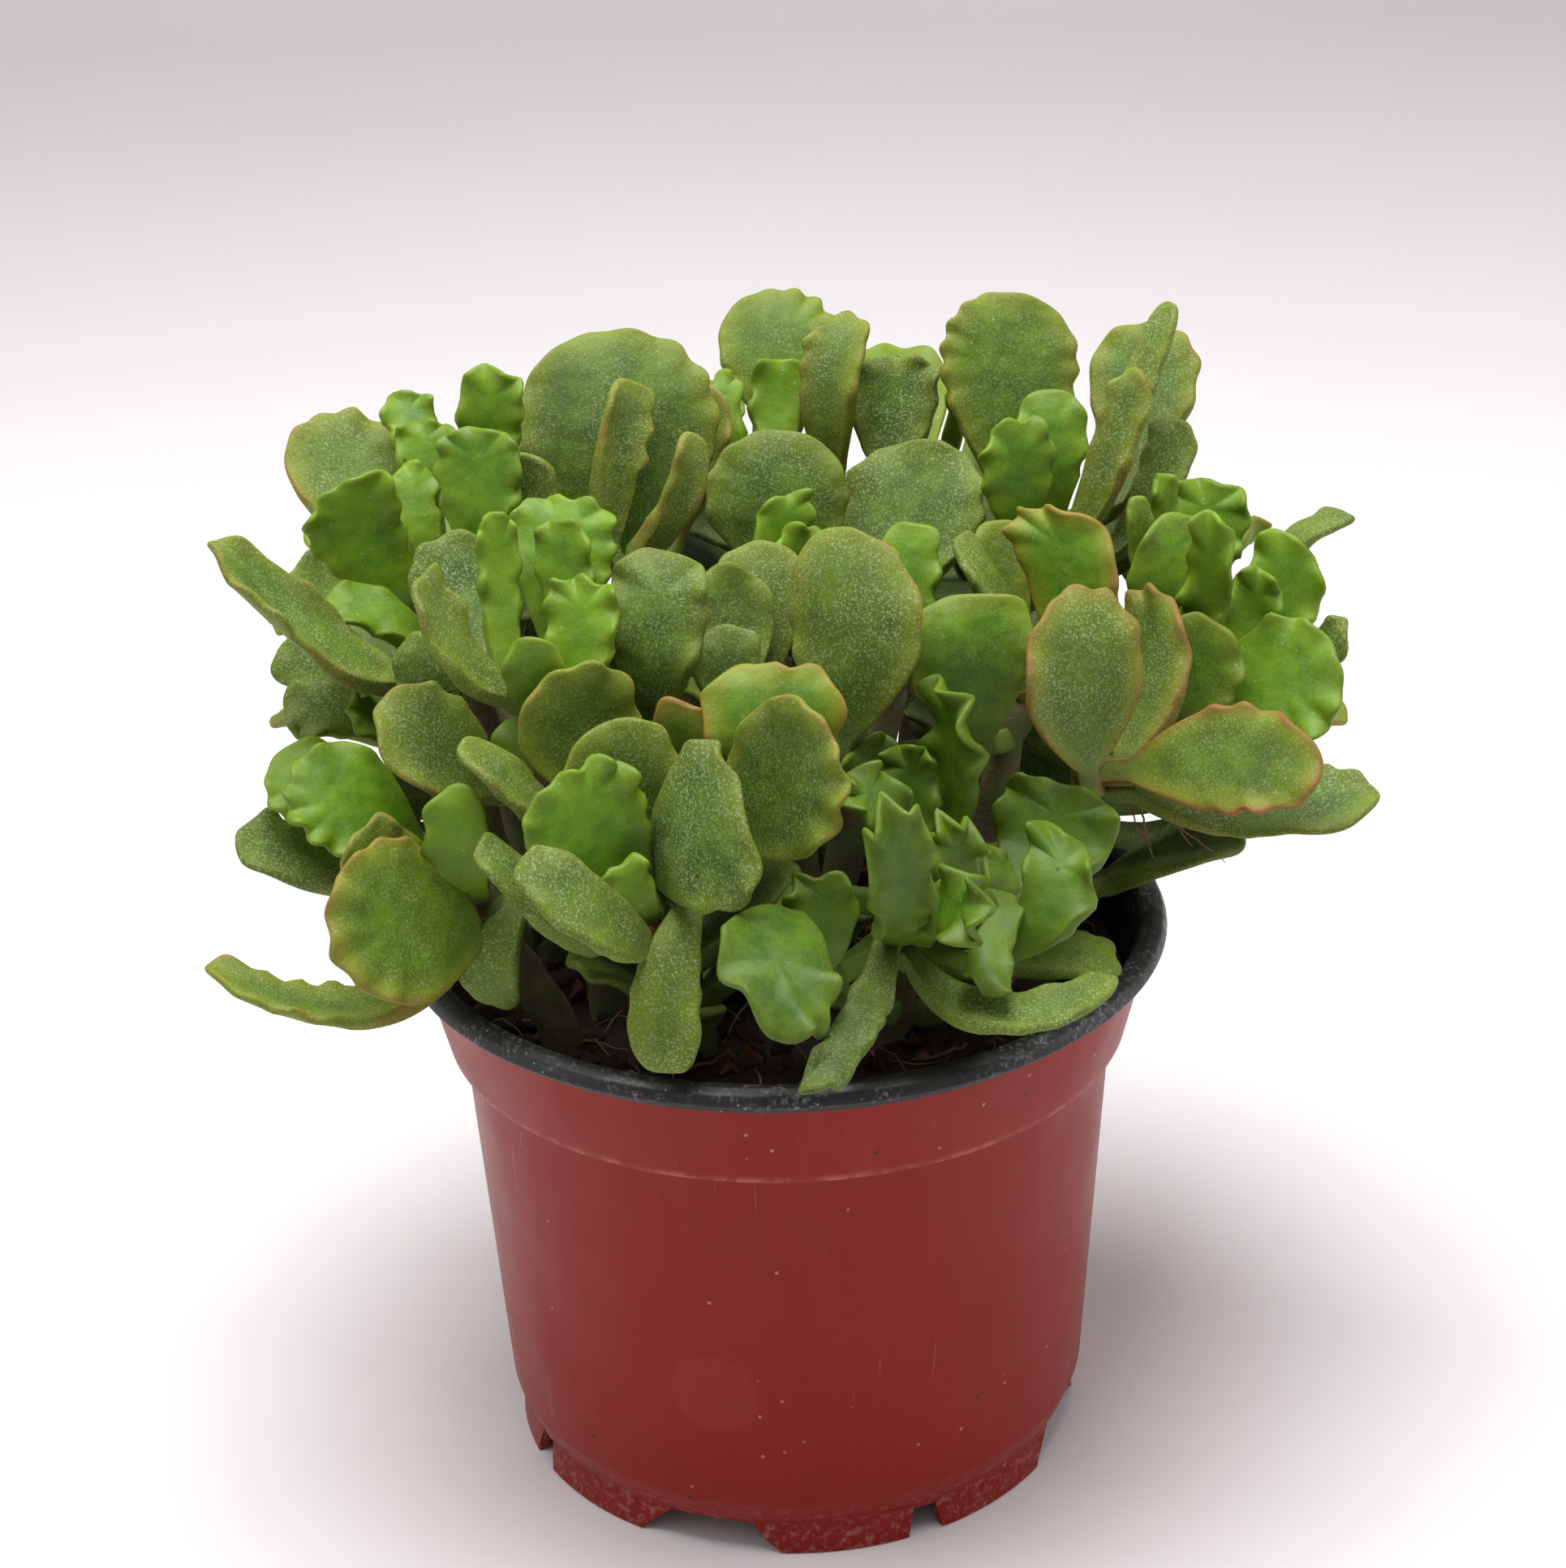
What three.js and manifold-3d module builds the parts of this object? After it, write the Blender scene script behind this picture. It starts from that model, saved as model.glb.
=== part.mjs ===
// A crinkle-leaf succulent in a two-tone nursery pot. Millimetres, +Z up, the photographed side faces -Y.
// All is built around the pot's axis, on z = 0, and assemble() then centres the whole plant.
import * as THREE from 'three';
import Module from 'manifold-3d';
import { mergeVertices } from 'three/addons/utils/BufferGeometryUtils.js';

const wasm = await Module();
wasm.setup();

// Pot sizes
const LIP_RADIUS = 52.5;
const LIP_TOP = 79.2;
const LIP_INNER = 48.4;
const COLLAR_TOP = 75.4;
const COLLAR_TOP_RADIUS = 50.0;
const COLLAR_FOOT = 63.2;
const COLLAR_FOOT_RADIUS = 47.0;
const BODY_TOP_RADIUS = 44.9;
const BODY_FOOT = 8.8;
const BODY_FOOT_RADIUS = 41.2;
const BASE_RADIUS = 39.9;
const FOOT_HEIGHT = 5.0;
const FOOT_RADIUS = 40.15;
const FOOT_WALL = 1.5;
const SHEET = 1.1;
const POT_SIDES = 28;

// Feet of the pot: four wide drain gaps and four small notches, by azimuth from +X
const WIDE_GAP_AT = -108.3;
const WIDE_GAP_HALF = 16.5;
const WIDE_GAP_TOP_HALF = 8.5;
const NOTCH_AT = -64.6;
const NOTCH_HALF = 4.2;
const NOTCH_TOP_HALF = 2.5;
const NOTCH_DEPTH = 4.2;
const DRAIN_RADIUS = 4.0;
const DRAIN_RING = 24.0;

// Soil sizes
const SOIL_TOP = 69.0;
const SOIL_FOOT = 6.8;
const SOIL_GAP = 0.35;
const HOLE_GAP = 0.35;
const HOLE_DEPTH = 18.0;

// Stems and leaves
const STEM_RADIUS = 3.0;
const STEM_SIDES = 6;
const STALK = 1.8;
const STALK_THICK = 3.0;
const BLADE_THICK = 2.6;
const EDGE_THICK = 1.3;
const LEAF_GAP = 3.2;
const LEAN = 0.3;
const BOWL = 0.3;
const FINEST = 0.4;

// The eye of the photograph. A leaf reading is (u, v) in mm on the upright plane through the
// pot axis, and the depth in mm behind that plane.
const EYE = [0.4, -417.4, 291.1];

// Outline of each kind of blade: roundness of the end, how long the foot stays narrow, where it is widest
const KINDS = {
  spoon: { end: 2.2, neck: 1.25, at: null },
  oval: { end: 2.1, neck: 0.95, at: 0.56 },
  fan: { end: 2.6, neck: 1.0, at: 0.76 },
};

// Shoots that the photo shows: name, foot in the soil (x, y), then its crowns.
// A crown is (u, v, depth) and its leaves. A leaf is its kind, heel, tip, left side and right side
// (each u, v, depth), then fold in degrees, wave in mm, waves along the edge, tone and edge flush.
const SHOOTS = [
 ["front_left", [-12, -22], [
  [[-18, 84, -30], [
   ["spoon", [-24, 94, -27], [-27, 115.5, -29], [-35.5, 107, -27], [-18.5, 107, -27], 10, 0.3, 4, 0.55, 0.6],
   ["spoon", [-17, 86, -28], [-22, 107.5, -32], [-31, 98.5, -31], [-13, 99.5, -31], 8, 0.4, 4, 0.6, 0.25],
   ["fan", [-21, 80.5, -33], [-29.5, 99.5, -41], [-35.5, 90, -40], [-18.5, 96.5, -40], 14, 0.6, 9, 0.05, 0],
   ["fan", [-19.5, 79, -38], [-22.5, 86, -41], [-25, 83.5, -41], [-18.5, 85.5, -41], 10, 0.7, 5, 0.05, 0],
   ["fan", [-16, 84, -34], [-5, 94, -40], [-13, 103, -36], [-7, 78.5, -42], -10, 0.7, 6, 0.85, 0.1],
   ["spoon", [-10, 88, -31], [7.5, 103, -29], [-5.5, 106, -26], [6.5, 88, -33], 8, 0.6, 8, 0.6, 0.6],
   ["fan", [-20, 73, -38], [-36, 86.5, -42], [-30, 75, -46], [-25, 83.5, -41], 18, 0.6, 6, 0.95, 0],
   ["fan", [-29, 75, -30], [-41.5, 89.5, -33], [-39, 82, -36], [-35, 86, -30], 16, 0.6, 4, 0.9, 0],
   ["oval", [-31, 93, -27], [-43, 104.5, -30], [-39.5, 97, -33], [-36, 101.5, -27], 30, 0.5, 4, 0.85, 0.2],
   ["fan", [-13, 79, -35], [-17.5, 53, -42], [-21.5, 66, -41], [-11.5, 64, -39], 12, 0.8, 5, 0.8, 0]
  ]]]],
 ["front_right", [14, -20], [
  [[17, 79, -27], [
   ["fan", [22, 89, -23], [21.5, 111.8, -25], [20.5, 103, -21], [26.5, 104.5, -27], 20, 2.0, 6, 0.2, 0],
   ["fan", [18, 87, -28], [16.5, 102.5, -30], [13.5, 99.5, -28], [21.5, 97.5, -28], 20, 1.8, 6, 0.18, 0],
   ["fan", [15.5, 86, -31], [9, 98, -34], [15, 97, -32], [10, 90.5, -36], 30, 1.6, 5, 0.2, 0],
   ["fan", [16.5, 74, -35], [15.5, 94, -42], [11, 85, -42], [20.5, 86.5, -42], 30, 2.0, 8, 0.2, 0],
   ["fan", [20, 77, -32], [23, 91.5, -34], [20, 86.5, -36], [27, 86.5, -32], 30, 1.8, 6, 0.15, 0],
   ["fan", [19, 74, -37], [27.5, 76, -44], [25, 83, -40], [23.5, 72, -44], 20, 1.6, 6, 0.15, 0],
   ["fan", [25, 76, -28], [28.5, 87, -26], [27, 83, -30], [31, 81.5, -26], 20, 1.2, 4, 0.25, 0],
   ["fan", [29, 70, -30], [37, 90, -27], [32.5, 84, -30], [42, 79, -30], 12, 1.5, 6, 0.18, 0],
   ["fan", [31, 76, -33], [29, 64, -43], [25, 68, -42], [31.5, 66.5, -40], -20, 1.0, 4, 0.15, 0],
   ["fan", [33, 77, -24], [39, 96, -28], [28.5, 91, -28], [45.5, 87, -25], 10, 1.2, 6, 0.28, 0],
   ["oval", [0, 77, -37], [0.5, 57.5, -52], [-9.5, 71, -47], [6.8, 67, -49], 10, 1.6, 5, 0.3, 0],
   ["fan", [5, 70, -34], [4, 83.5, -38], [0, 80.5, -38], [10, 78.5, -38], 14, 1.0, 5, 0.2, 0],
   ["fan", [13.5, 71, -38], [3, 49, -56], [6, 60, -50], [13, 60, -50], 10, 1.4, 5, 0.8, 0],
   ["fan", [17, 70, -34], [46, 65, -31], [32, 65.5, -34], [32, 58.5, -42], 24, 0.5, 4, 0.85, 0],
   ["fan", [31, 69, -20], [46, 69.5, -12], [41, 73, -12], [41, 66, -18], 8, 0.5, 4, 0.5, 0],
   ["fan", [17, 90, -22], [11.5, 103.5, -23], [6.5, 99.5, -23], [16, 100.5, -22], 14, 0.8, 5, 0.45, 0]
  ]]]],
 ["right_lower", [34, -8], [
  [[44, 98, -4], [
   ["oval", [41, 99, -17], [40, 124.7, -22], [32.5, 111, -24], [48.5, 112, -20], 14, 0.6, 6, 0.85, 0.9],
   ["oval", [47, 99, -12], [49, 124.5, -12], [45, 113, -10], [55, 109, -14], 14, 0.7, 6, 0.7, 0.9],
   ["oval", [48, 97.5, -15], [73.3, 96.5, -22], [61.5, 107, -18], [65, 90.5, -22], 10, 0.8, 5, 0.55, 1.0],
   ["oval", [48, 95, -11], [81, 92, -14], [68, 98, -8], [66, 86.5, -17], 14, 0.6, 5, 0.85, 0.25],
   ["spoon", [52, 103, -4], [57, 120, -5], [50, 112, -4], [62.5, 111.5, -5], 8, 0.4, 4, 0.4, 0.2]
  ]]]],
 ["right_upper", [36, 8], [
  [[53, 111, 8], [
   ["spoon", [57, 109, 3], [75.5, 108, -2], [65, 119.7, 3], [68, 100.5, -3], 10, 0.6, 8, 0.25, 0],
   ["fan", [58, 114, 5], [64.5, 126, 2], [60, 124, 3], [67, 121, 4], 20, 1.4, 5, 0.15, 0],
   ["spoon", [60, 114, 9], [67, 131.5, 12], [62, 126, 11], [72, 121.5, 12], 10, 0.9, 6, 0.18, 0],
   ["fan", [54, 113, 5], [57.5, 134.5, 2], [54.5, 130, 2], [61, 128.5, 1], 30, 1.4, 6, 0.15, 0],
   ["fan", [51, 116, 4], [53.5, 134.5, 2], [47, 127, 1], [55, 126, 3], 20, 0.9, 4, 0.3, 0],
   ["fan", [55, 122, 11], [57, 139, 16], [51, 136, 15], [62.5, 134, 15], 24, 1.2, 6, 0.2, 0],
   ["fan", [52, 126, 10], [51, 140, 11], [49, 137, 10], [53, 136, 10], 30, 1.2, 4, 0.2, 0],
   ["fan", [50, 121, 7], [47.5, 137, 6], [46, 133, 5], [50, 131, 6], 24, 0.9, 4, 0.35, 0],
   ["fan", [64, 123, 13], [75.5, 133.5, 15], [70, 133, 15], [71.5, 129.5, 11], 20, 0.6, 4, 0.85, 0],
   ["fan", [65, 112, 9], [75.5, 117.5, 9], [72, 118, 11], [75, 112, 8], 10, 0.6, 4, 0.8, 0.1],
   ["fan", [59, 104, 1], [71.5, 100.5, -1], [69, 104, 3], [67, 98, -3], 10, 0.8, 4, 0.35, 0]
  ]]]],
 ["top_right", [26, 18], [
  [[36, 133, 24], [
   ["spoon", [30, 138, 26], [30.5, 165, 27], [22, 155, 26], [39.5, 153, 26], 6, 0.3, 5, 0.5, 0.5],
   ["spoon", [32.5, 131.5, 18], [32, 148.3, 14], [27, 141.5, 14], [36.7, 142, 14], 10, 0.45, 9, 0.05, 0],
   ["spoon", [36.5, 135, 21], [36, 152, 19], [31.5, 147, 19], [41, 147, 19], 10, 0.45, 7, 0.08, 0],
   ["fan", [40, 132, 17], [47.5, 154, 14], [41, 144, 15], [49.5, 149, 13], 30, 0.5, 4, 0.75, 0.6],
   ["fan", [42, 135, 23], [51.5, 163, 26], [46, 153, 25], [51, 155, 22], 30, 0.6, 3, 0.9, 0.1],
   ["spoon", [46, 138, 29], [48.5, 160.5, 35], [41, 152, 33], [55, 149.5, 32], 10, 0.5, 7, 0.8, 0.7],
   ["fan", [46, 131, 26], [52.5, 147.5, 29], [48, 143, 28], [54.5, 141, 27], 14, 0.9, 4, 0.85, 0]
  ]]]],
 ["top_centre", [3, 22], [
  [[5, 134, 30], [
   ["spoon", [2, 146, 38], [1.5, 166.2, 41], [-6.3, 157.5, 39], [9, 157, 39], 8, 0.3, 5, 0.45, 0.4],
   ["fan", [8, 142, 31], [10.5, 162.8, 31], [4, 153.5, 29], [13, 156, 28], 45, 0.3, 4, 0.65, 0.5],
   ["fan", [16, 140, 31], [17, 157, 33], [10.5, 152, 33], [22, 149.5, 31], 10, 0.9, 5, 0.75, 0.2],
   ["spoon", [-3, 141, 31], [-5.5, 155.5, 32], [-8, 151, 31], [-3, 150, 30], 12, 0.6, 6, 0.05, 0],
   ["spoon", [1, 141, 31], [2, 157.3, 34], [-2.5, 152, 34], [4.5, 150, 33], 14, 0.5, 5, 0.08, 0]
  ]],
  [[6, 120, 10], [
   ["spoon", [0, 127, 14], [1.5, 147.5, 18], [-8.8, 140, 16], [10, 139, 15], 8, 0.4, 5, 0.6, 0.15],
   ["spoon", [18, 124, 14], [18.5, 145.6, 19], [8.7, 139.5, 18], [28, 141, 18], 6, 0.8, 4, 0.85, 0.05],
   ["fan", [4, 127, 11], [2.5, 139, 12], [-2.5, 134.5, 12], [5.5, 135, 11], 20, 0.8, 5, 0.15, 0],
   ["spoon", [5, 123, 8], [3, 134.5, 8], [-0.5, 130, 8], [6.5, 131, 8], 10, 0.4, 4, 0.2, 0]
  ]]]],
 ["top_left", [-14, 12], [
  [[-17, 127, 12], [
   ["spoon", [-19, 130, 17], [-20, 161.5, 22], [-32.5, 148, 20], [-6.5, 148, 20], 8, 0.4, 5, 0.6, 0.4],
   ["spoon", [-13, 134, 20], [-9.5, 154.5, 27], [-15, 147, 25], [-5, 147, 25], 8, 0.4, 4, 0.5, 0.8],
   ["fan", [-22, 133, 11], [-17.5, 154.8, 12], [-23, 146, 9], [-15.5, 149, 13], 40, 0.5, 4, 0.8, 0.5],
   ["fan", [-17.5, 131, 8], [-10, 147.5, 7], [-14.5, 140.5, 4], [-8.5, 142, 9], 40, 0.5, 4, 0.75, 0.5]
  ]]]],
 ["left_upper", [-32, 6], [
  [[-44, 125, 10], [
   ["fan", [-48, 126, 7], [-55, 142.3, 3], [-62, 137, 5], [-48.5, 140.5, 4], 10, 0.7, 5, 0.15, 0],
   ["spoon", [-44.5, 130, 9], [-46.5, 144.5, 6], [-49.5, 139.5, 6], [-43, 139.5, 6], 10, 0.5, 7, 0.1, 0],
   ["fan", [-38, 130, 7], [-37.3, 149, 5], [-43.3, 142, 5], [-32, 142, 5], 14, 0.8, 9, 0.12, 0],
   ["fan", [-45, 142, 18], [-47, 154, 21], [-49.8, 150.5, 20], [-42.8, 151, 20], 20, 1.0, 5, 0.08, 0],
   ["fan", [-44.5, 138, 14], [-44.5, 150.2, 15], [-48.5, 147.5, 15], [-40.5, 147.8, 15], 20, 0.8, 5, 0.05, 0],
   ["fan", [-37, 141, 14], [-34.8, 157, 17], [-39.8, 152, 16], [-31.3, 151, 16], 16, 1.0, 6, 0.06, 0],
   ["spoon", [-51, 131, 16], [-56.5, 151.6, 20], [-62.8, 143.5, 18], [-47, 145, 20], 8, 0.5, 5, 0.8, 0.6],
   ["spoon", [-33, 131, 10], [-32, 145.5, 12], [-37, 140, 12], [-27.6, 140.5, 12], 8, 0.4, 4, 0.8, 0.1]
  ]]]],
 ["left_centre", [-24, -10], [
  [[-31, 110, -13], [
   ["fan", [-36, 115, -16], [-36, 137.4, -14], [-39, 130, -14], [-33.3, 130, -14], 24, 0.7, 9, 0.12, 0],
   ["fan", [-29, 118, -9], [-27.5, 139.3, -3], [-34.5, 133, -5], [-20.5, 133.5, -4], 8, 0.6, 5, 0.18, 0],
   ["fan", [-27, 118, -13], [-27.8, 136.2, -11], [-31, 131, -11], [-23.7, 130.5, -12], 12, 0.8, 6, 0.1, 0],
   ["fan", [-28, 109, -20], [-25, 128, -22], [-30.7, 120.5, -22], [-20.3, 123.5, -22], 12, 0.9, 8, 0.14, 0],
   ["spoon", [-40, 117, -8], [-41.5, 134.8, -5], [-48, 127, -5], [-35, 127, -6], 8, 0.4, 4, 0.85, 0.05],
   ["fan", [-35, 111, -19], [-46.5, 129, -23], [-44.5, 116, -25], [-39.5, 120, -20], 40, 0.7, 5, 0.7, 0.15],
   ["spoon", [-31, 110, -18], [-33, 119.7, -23], [-37, 116, -23], [-28.5, 117, -23], 8, 0.4, 4, 0.2, 0]
  ]],
  [[-16, 104, -12], [
   ["fan", [-17, 107, -16], [-14.5, 131.5, -17], [-22, 124, -17], [-8.8, 122, -19], 10, 1.1, 6, 0.6, 0.15],
   ["spoon", [-14, 98, -18], [-13, 110.3, -21], [-17, 106, -21], [-9, 106, -21], 8, 0.4, 4, 0.4, 0.9]
  ]]]],
 ["left_outer", [-36, -8], [
  [[-48, 110, -3], [
   ["oval", [-50, 113.5, -8], [-73.5, 134.3, -12], [-63, 127, -7], [-62, 116, -16], 50, 0.7, 5, 0.9, 0.4],
   ["spoon", [-54, 121, 6], [-61.5, 132, 11], [-66, 126.5, 11], [-56, 129, 11], 8, 0.4, 4, 0.85, 0],
   ["fan", [-47, 119, -4], [-59, 125.5, -2], [-53.5, 127.5, 0], [-55, 121, -5], 14, 0.6, 5, 0.25, 0],
   ["fan", [-51, 112, 0], [-66.5, 118, 3], [-63, 122, 5], [-61, 112, 1], 10, 0.6, 5, 0.85, 0],
   ["fan", [-52, 108, -2], [-66, 109.5, -2], [-61, 114, 1], [-60.5, 105.5, -4], 10, 0.7, 5, 1.0, 0],
   ["spoon", [-51, 106, -5], [-57, 109, -6], [-56, 112, -4], [-55, 105.5, -7], 10, 0.4, 4, 0.3, 0],
   ["oval", [-45, 109, -8], [-47, 121, -12], [-51.3, 116, -12], [-42, 116.5, -12], 12, 0.4, 4, 0.9, 0]
  ]],
  [[-41, 98, -12], [
   ["oval", [-39, 98, -17], [-54, 109, -20], [-44.5, 112.5, -17], [-48, 97, -24], 10, 0.7, 4, 0.85, 0.5],
   ["spoon", [-34.5, 99, -17], [-35.5, 108, -20], [-38.5, 104.5, -20], [-31.5, 105, -20], 8, 0.4, 4, 0.3, 0]
  ]]]],
 ["left_lower", [-30, -20], [
  [[-44, 84, -22], [
   ["spoon", [-50, 89, -23], [-66, 101, -25], [-56, 104.5, -22], [-62, 89, -28], 8, 0.4, 6, 0.14, 0],
   ["spoon", [-53, 92, -19], [-69, 101.5, -18], [-61, 106, -16], [-66, 93, -22], 8, 0.4, 4, 0.22, 0],
   ["fan", [-58, 84, -22], [-73.5, 92.5, -22], [-67, 93.5, -19], [-69.5, 85, -25], 14, 0.4, 4, 0.85, 0],
   ["spoon", [-50, 80, -26], [-57, 92.7, -29], [-62, 85.5, -30], [-50, 91, -28], 8, 0.6, 7, 0.5, 0.35],
   ["oval", [-43, 76, -27], [-63, 77.5, -38], [-53, 91, -33], [-55, 65, -38], 8, 0.7, 9, 0.5, 0.85],
   ["fan", [-46, 71, -24], [-80, 71.5, -26], [-66, 69.5, -24], [-66, 63, -32], 30, 0.6, 5, 0.6, 0.5],
   ["spoon", [-42, 83, -25], [-44, 98.5, -29], [-48.8, 91, -29], [-39.5, 91, -28], 8, 0.3, 4, 0.22, 0],
   ["fan", [-37, 79, -25], [-40.5, 64.5, -24], [-44.5, 71.5, -26], [-36.5, 68.5, -25], 10, 0.5, 4, 0.95, 0]
  ]]]],
 ["centre", [4, -4], [
  [[1, 100, -12], [
   ["fan", [0, 98, -22], [-1.5, 115, -25], [-10.5, 109, -24], [9, 107, -25], 10, 0.6, 5, 0.35, 0.8],
   ["oval", [9, 104, -16], [9, 134, -15], [1.5, 119, -18], [19.3, 117.5, -19], -12, 0.4, 4, 0.85, 0.5],
   ["spoon", [-4, 112, -11], [-7.5, 129, -8], [-12.5, 123, -8], [0.5, 120, -10], 8, 0.3, 4, 0.55, 0.1],
   ["spoon", [-1, 114, -6], [-2, 132.3, -2], [-8.5, 127, -3], [4.5, 124, -4], 8, 0.3, 4, 0.95, 0.5],
   ["spoon", [-5, 107, -14], [-7, 120.6, -14], [-11.5, 115, -14], [-1.5, 115, -16], 8, 0.3, 4, 0.6, 0]
  ]],
  [[16, 113, -2], [
   ["spoon", [18, 116, -1], [18, 134.5, 1], [14, 128, 1], [22, 127, 0], 10, 0.5, 4, 0.2, 0],
   ["fan", [14, 114, -5], [13, 132, -5], [10.5, 126, -5], [16.7, 124.5, -7], 16, 0.9, 5, 0.15, 0]
  ]]]],
 ["right_centre", [24, -4], [
  [[32, 110, -3], [
   ["fan", [27, 104, -8], [25.5, 124, -13], [16.5, 119.5, -13], [34, 118.5, -14], 10, 0.9, 4, 0.35, 0.35],
   ["fan", [38, 112, -2], [35.5, 136, -3], [32, 128, -2], [45.5, 124, -5], 12, 1.0, 4, 0.3, 0.9],
   ["spoon", [32, 118, 3], [29, 134.3, 7], [25.5, 128.5, 6], [33.5, 130, 6], 8, 0.4, 4, 0.5, 0.6],
   ["fan", [32, 119, -5], [24, 132.2, -6], [25, 126, -10], [29, 127, -5], 24, 0.4, 3, 0.95, 0]
  ]]]]
];

// Shoots on the far side, by rule: name, foot (x, y), crown (x, y, z), leaves, length, width
const BACK_SHOOTS = [
  ['back_left', [-24, 20], [-48, 35, 107], 8, 29, 22],
  ['back_centre', [-8, 32], [-20, 50, 120], 8, 28, 21],
  ['back_right', [18, 30], [24, 51, 121], 8, 29, 22],
  ['back_right', [18, 30], [6, 57, 103], 4, 22, 17],
  ['back_side', [33, 14], [56, 32, 102], 8, 27, 19],
];
const GOLDEN = 137.5;
const FIRST_TURN = 40;
const OUTWARD = 0.95;
const LOWEST_RISE = 0.15;
const TOP_RISE = 1.5;
const LEAFY_PART = 0.40;
const STALK_LENGTH = 7;
const TOP_LEAF_SIZE = 0.65;
const WIDEST = 0.68;
const ARCH = 1.5;

const add = (a, b) => [a[0] + b[0], a[1] + b[1], a[2] + b[2]];
const sub = (a, b) => [a[0] - b[0], a[1] - b[1], a[2] - b[2]];
const mul = (a, k) => [a[0] * k, a[1] * k, a[2] * k];
const dot = (a, b) => a[0] * b[0] + a[1] * b[1] + a[2] * b[2];
const len = (a) => Math.sqrt(dot(a, a));
const unit = (a) => mul(a, 1 / len(a));
const cross = (a, b) => [
  a[1] * b[2] - a[2] * b[1],
  a[2] * b[0] - a[0] * b[2],
  a[0] * b[1] - a[1] * b[0],
];
const mix = (a, b, t) => add(mul(a, 1 - t), mul(b, t));
const rad = (d) => d * Math.PI / 180;
const ease = (x) => {
  const t = Math.min(1, Math.max(0, x));
  return t * t * (3 - 2 * t);
};

// Point in space of a reading on the photo
const seen = ([u, v, d]) => {
  const k = (d - EYE[1]) / -EYE[1];
  return [EYE[0] + (u - EYE[0]) * k, d, EYE[2] + (v - EYE[2]) * k];
};

// Reading of a point in space
const unseen = ([x, y, z]) => {
  const k = (y - EYE[1]) / -EYE[1];
  return [EYE[0] + (x - EYE[0]) / k, EYE[2] + (z - EYE[2]) / k, y];
};

// A rosette opens like a bowl that leans back: leaves above the crown lie deeper, those beside it nearer
const bowl = ([u, v, d], crown) => [
  u, v, d + LEAN * (v - crown[1]) - BOWL * Math.abs(u - crown[0]),
];

// All leaves in one list, with their stem
function listLeaves() {
  const leaves = [];
  const stems = [];
  for (const [shoot, foot, crowns] of SHOOTS) {
    for (const [crown, rows] of crowns) {
      const stem = { shoot, from: [foot[0], foot[1], SOIL_TOP - HOLE_DEPTH], to: seen(crown) };
      stems.push(stem);
      for (const [kind, ...rest] of rows) {
        const [heel, tip, left, right] = rest.slice(0, 4).map((reading) => bowl(reading, crown));
        const [fold, wave, waves] = rest.slice(4);
        leaves.push({ shoot, stem, kind, heel, tip, left, right, fold, wave, waves, push: 0 });
      }
    }
  }
  for (const [shoot, foot, crown, count, length, width] of BACK_SHOOTS) {
    const stem = { shoot, from: [foot[0], foot[1], SOIL_TOP - HOLE_DEPTH], to: crown };
    stems.push(stem);
    const out = unit([crown[0] - foot[0] / 2, crown[1] - foot[1] / 3, 0]);
    const along = sub(stem.to, stem.from);
    for (let i = 0; i < count; i += 1) {
      const share = i / (count - 1);
      const turn = rad(GOLDEN * i + FIRST_TURN);
      const rise = LOWEST_RISE + TOP_RISE * share * share;
      const away = unit([Math.cos(turn) + OUTWARD * out[0], Math.sin(turn) + OUTWARD * out[1], rise]);
      const size = 1 - (1 - TOP_LEAF_SIZE) * share;
      const node = sub(crown, mul(along, LEAFY_PART * (1 - share) ** 1.3));
      const heel = add(node, mul(away, STALK_LENGTH));
      const tip = add(heel, mul(away, length * size));
      const across = unit(cross(away, [0, 0, 1]));
      const middle = add(mix(heel, tip, WIDEST), [0, 0, ARCH]);
      const side = mul(across, width * size / 2);
      leaves.push({
        shoot,
        stem,
        kind: i % 3 === 1 ? 'fan' : 'spoon',
        heel: unseen(heel),
        tip: unseen(tip),
        left: unseen(add(middle, side)),
        right: unseen(sub(middle, side)),
        fold: 10 + 8 * ((i * 5) % 3),
        wave: 0.4 + 0.6 * share,
        waves: 4 + (i % 3),
        push: 0,
        faceUp: true,
      });
    }
  }
  return { leaves, stems };
}

// Settling: places probed on a blade, how near two count as overlapping, rounds and the furthest push
const PROBE_ROWS = [0.2, 0.35, 0.5, 0.65, 0.8, 0.95];
const PROBE_COLUMNS = [-1, -0.5, 0, 0.5, 1];
const PROBE_REACH = 2.4;
const ROUNDS = 80;
const STEP = 0.35;
const FURTHEST_PUSH = 14;
const FREE_FROM = 0.4;

const clampPush = (x) => Math.min(FURTHEST_PUSH, Math.max(-FURTHEST_PUSH, x));

// Sparse readings over a blade, with the share of its push that each takes
function sparse(leaf) {
  const [end, neck, at] = shapeOf(leaf);
  const dots = [];
  const middle = mul(add(leaf.left, leaf.right), 0.5);
  const side = mul(sub(leaf.left, leaf.right), 0.5);
  const off = mul(sub(middle, mix(leaf.heel, leaf.tip, at)), 1 / (4 * at * (1 - at)));
  for (const s of PROBE_ROWS) {
    const wide = s < at
      ? 0.25 + 0.75 * Math.sin(0.5 * Math.PI * s / at) ** neck
      : (1 - ((s - at) / (1 - at)) ** end) ** (1 / end);
    const spine = add(mix(leaf.heel, leaf.tip, s), mul(off, 4 * s * (1 - s)));
    for (const t of PROBE_COLUMNS) dots.push([...add(spine, mul(side, t * wide)), s]);
  }
  return dots;
}

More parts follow.
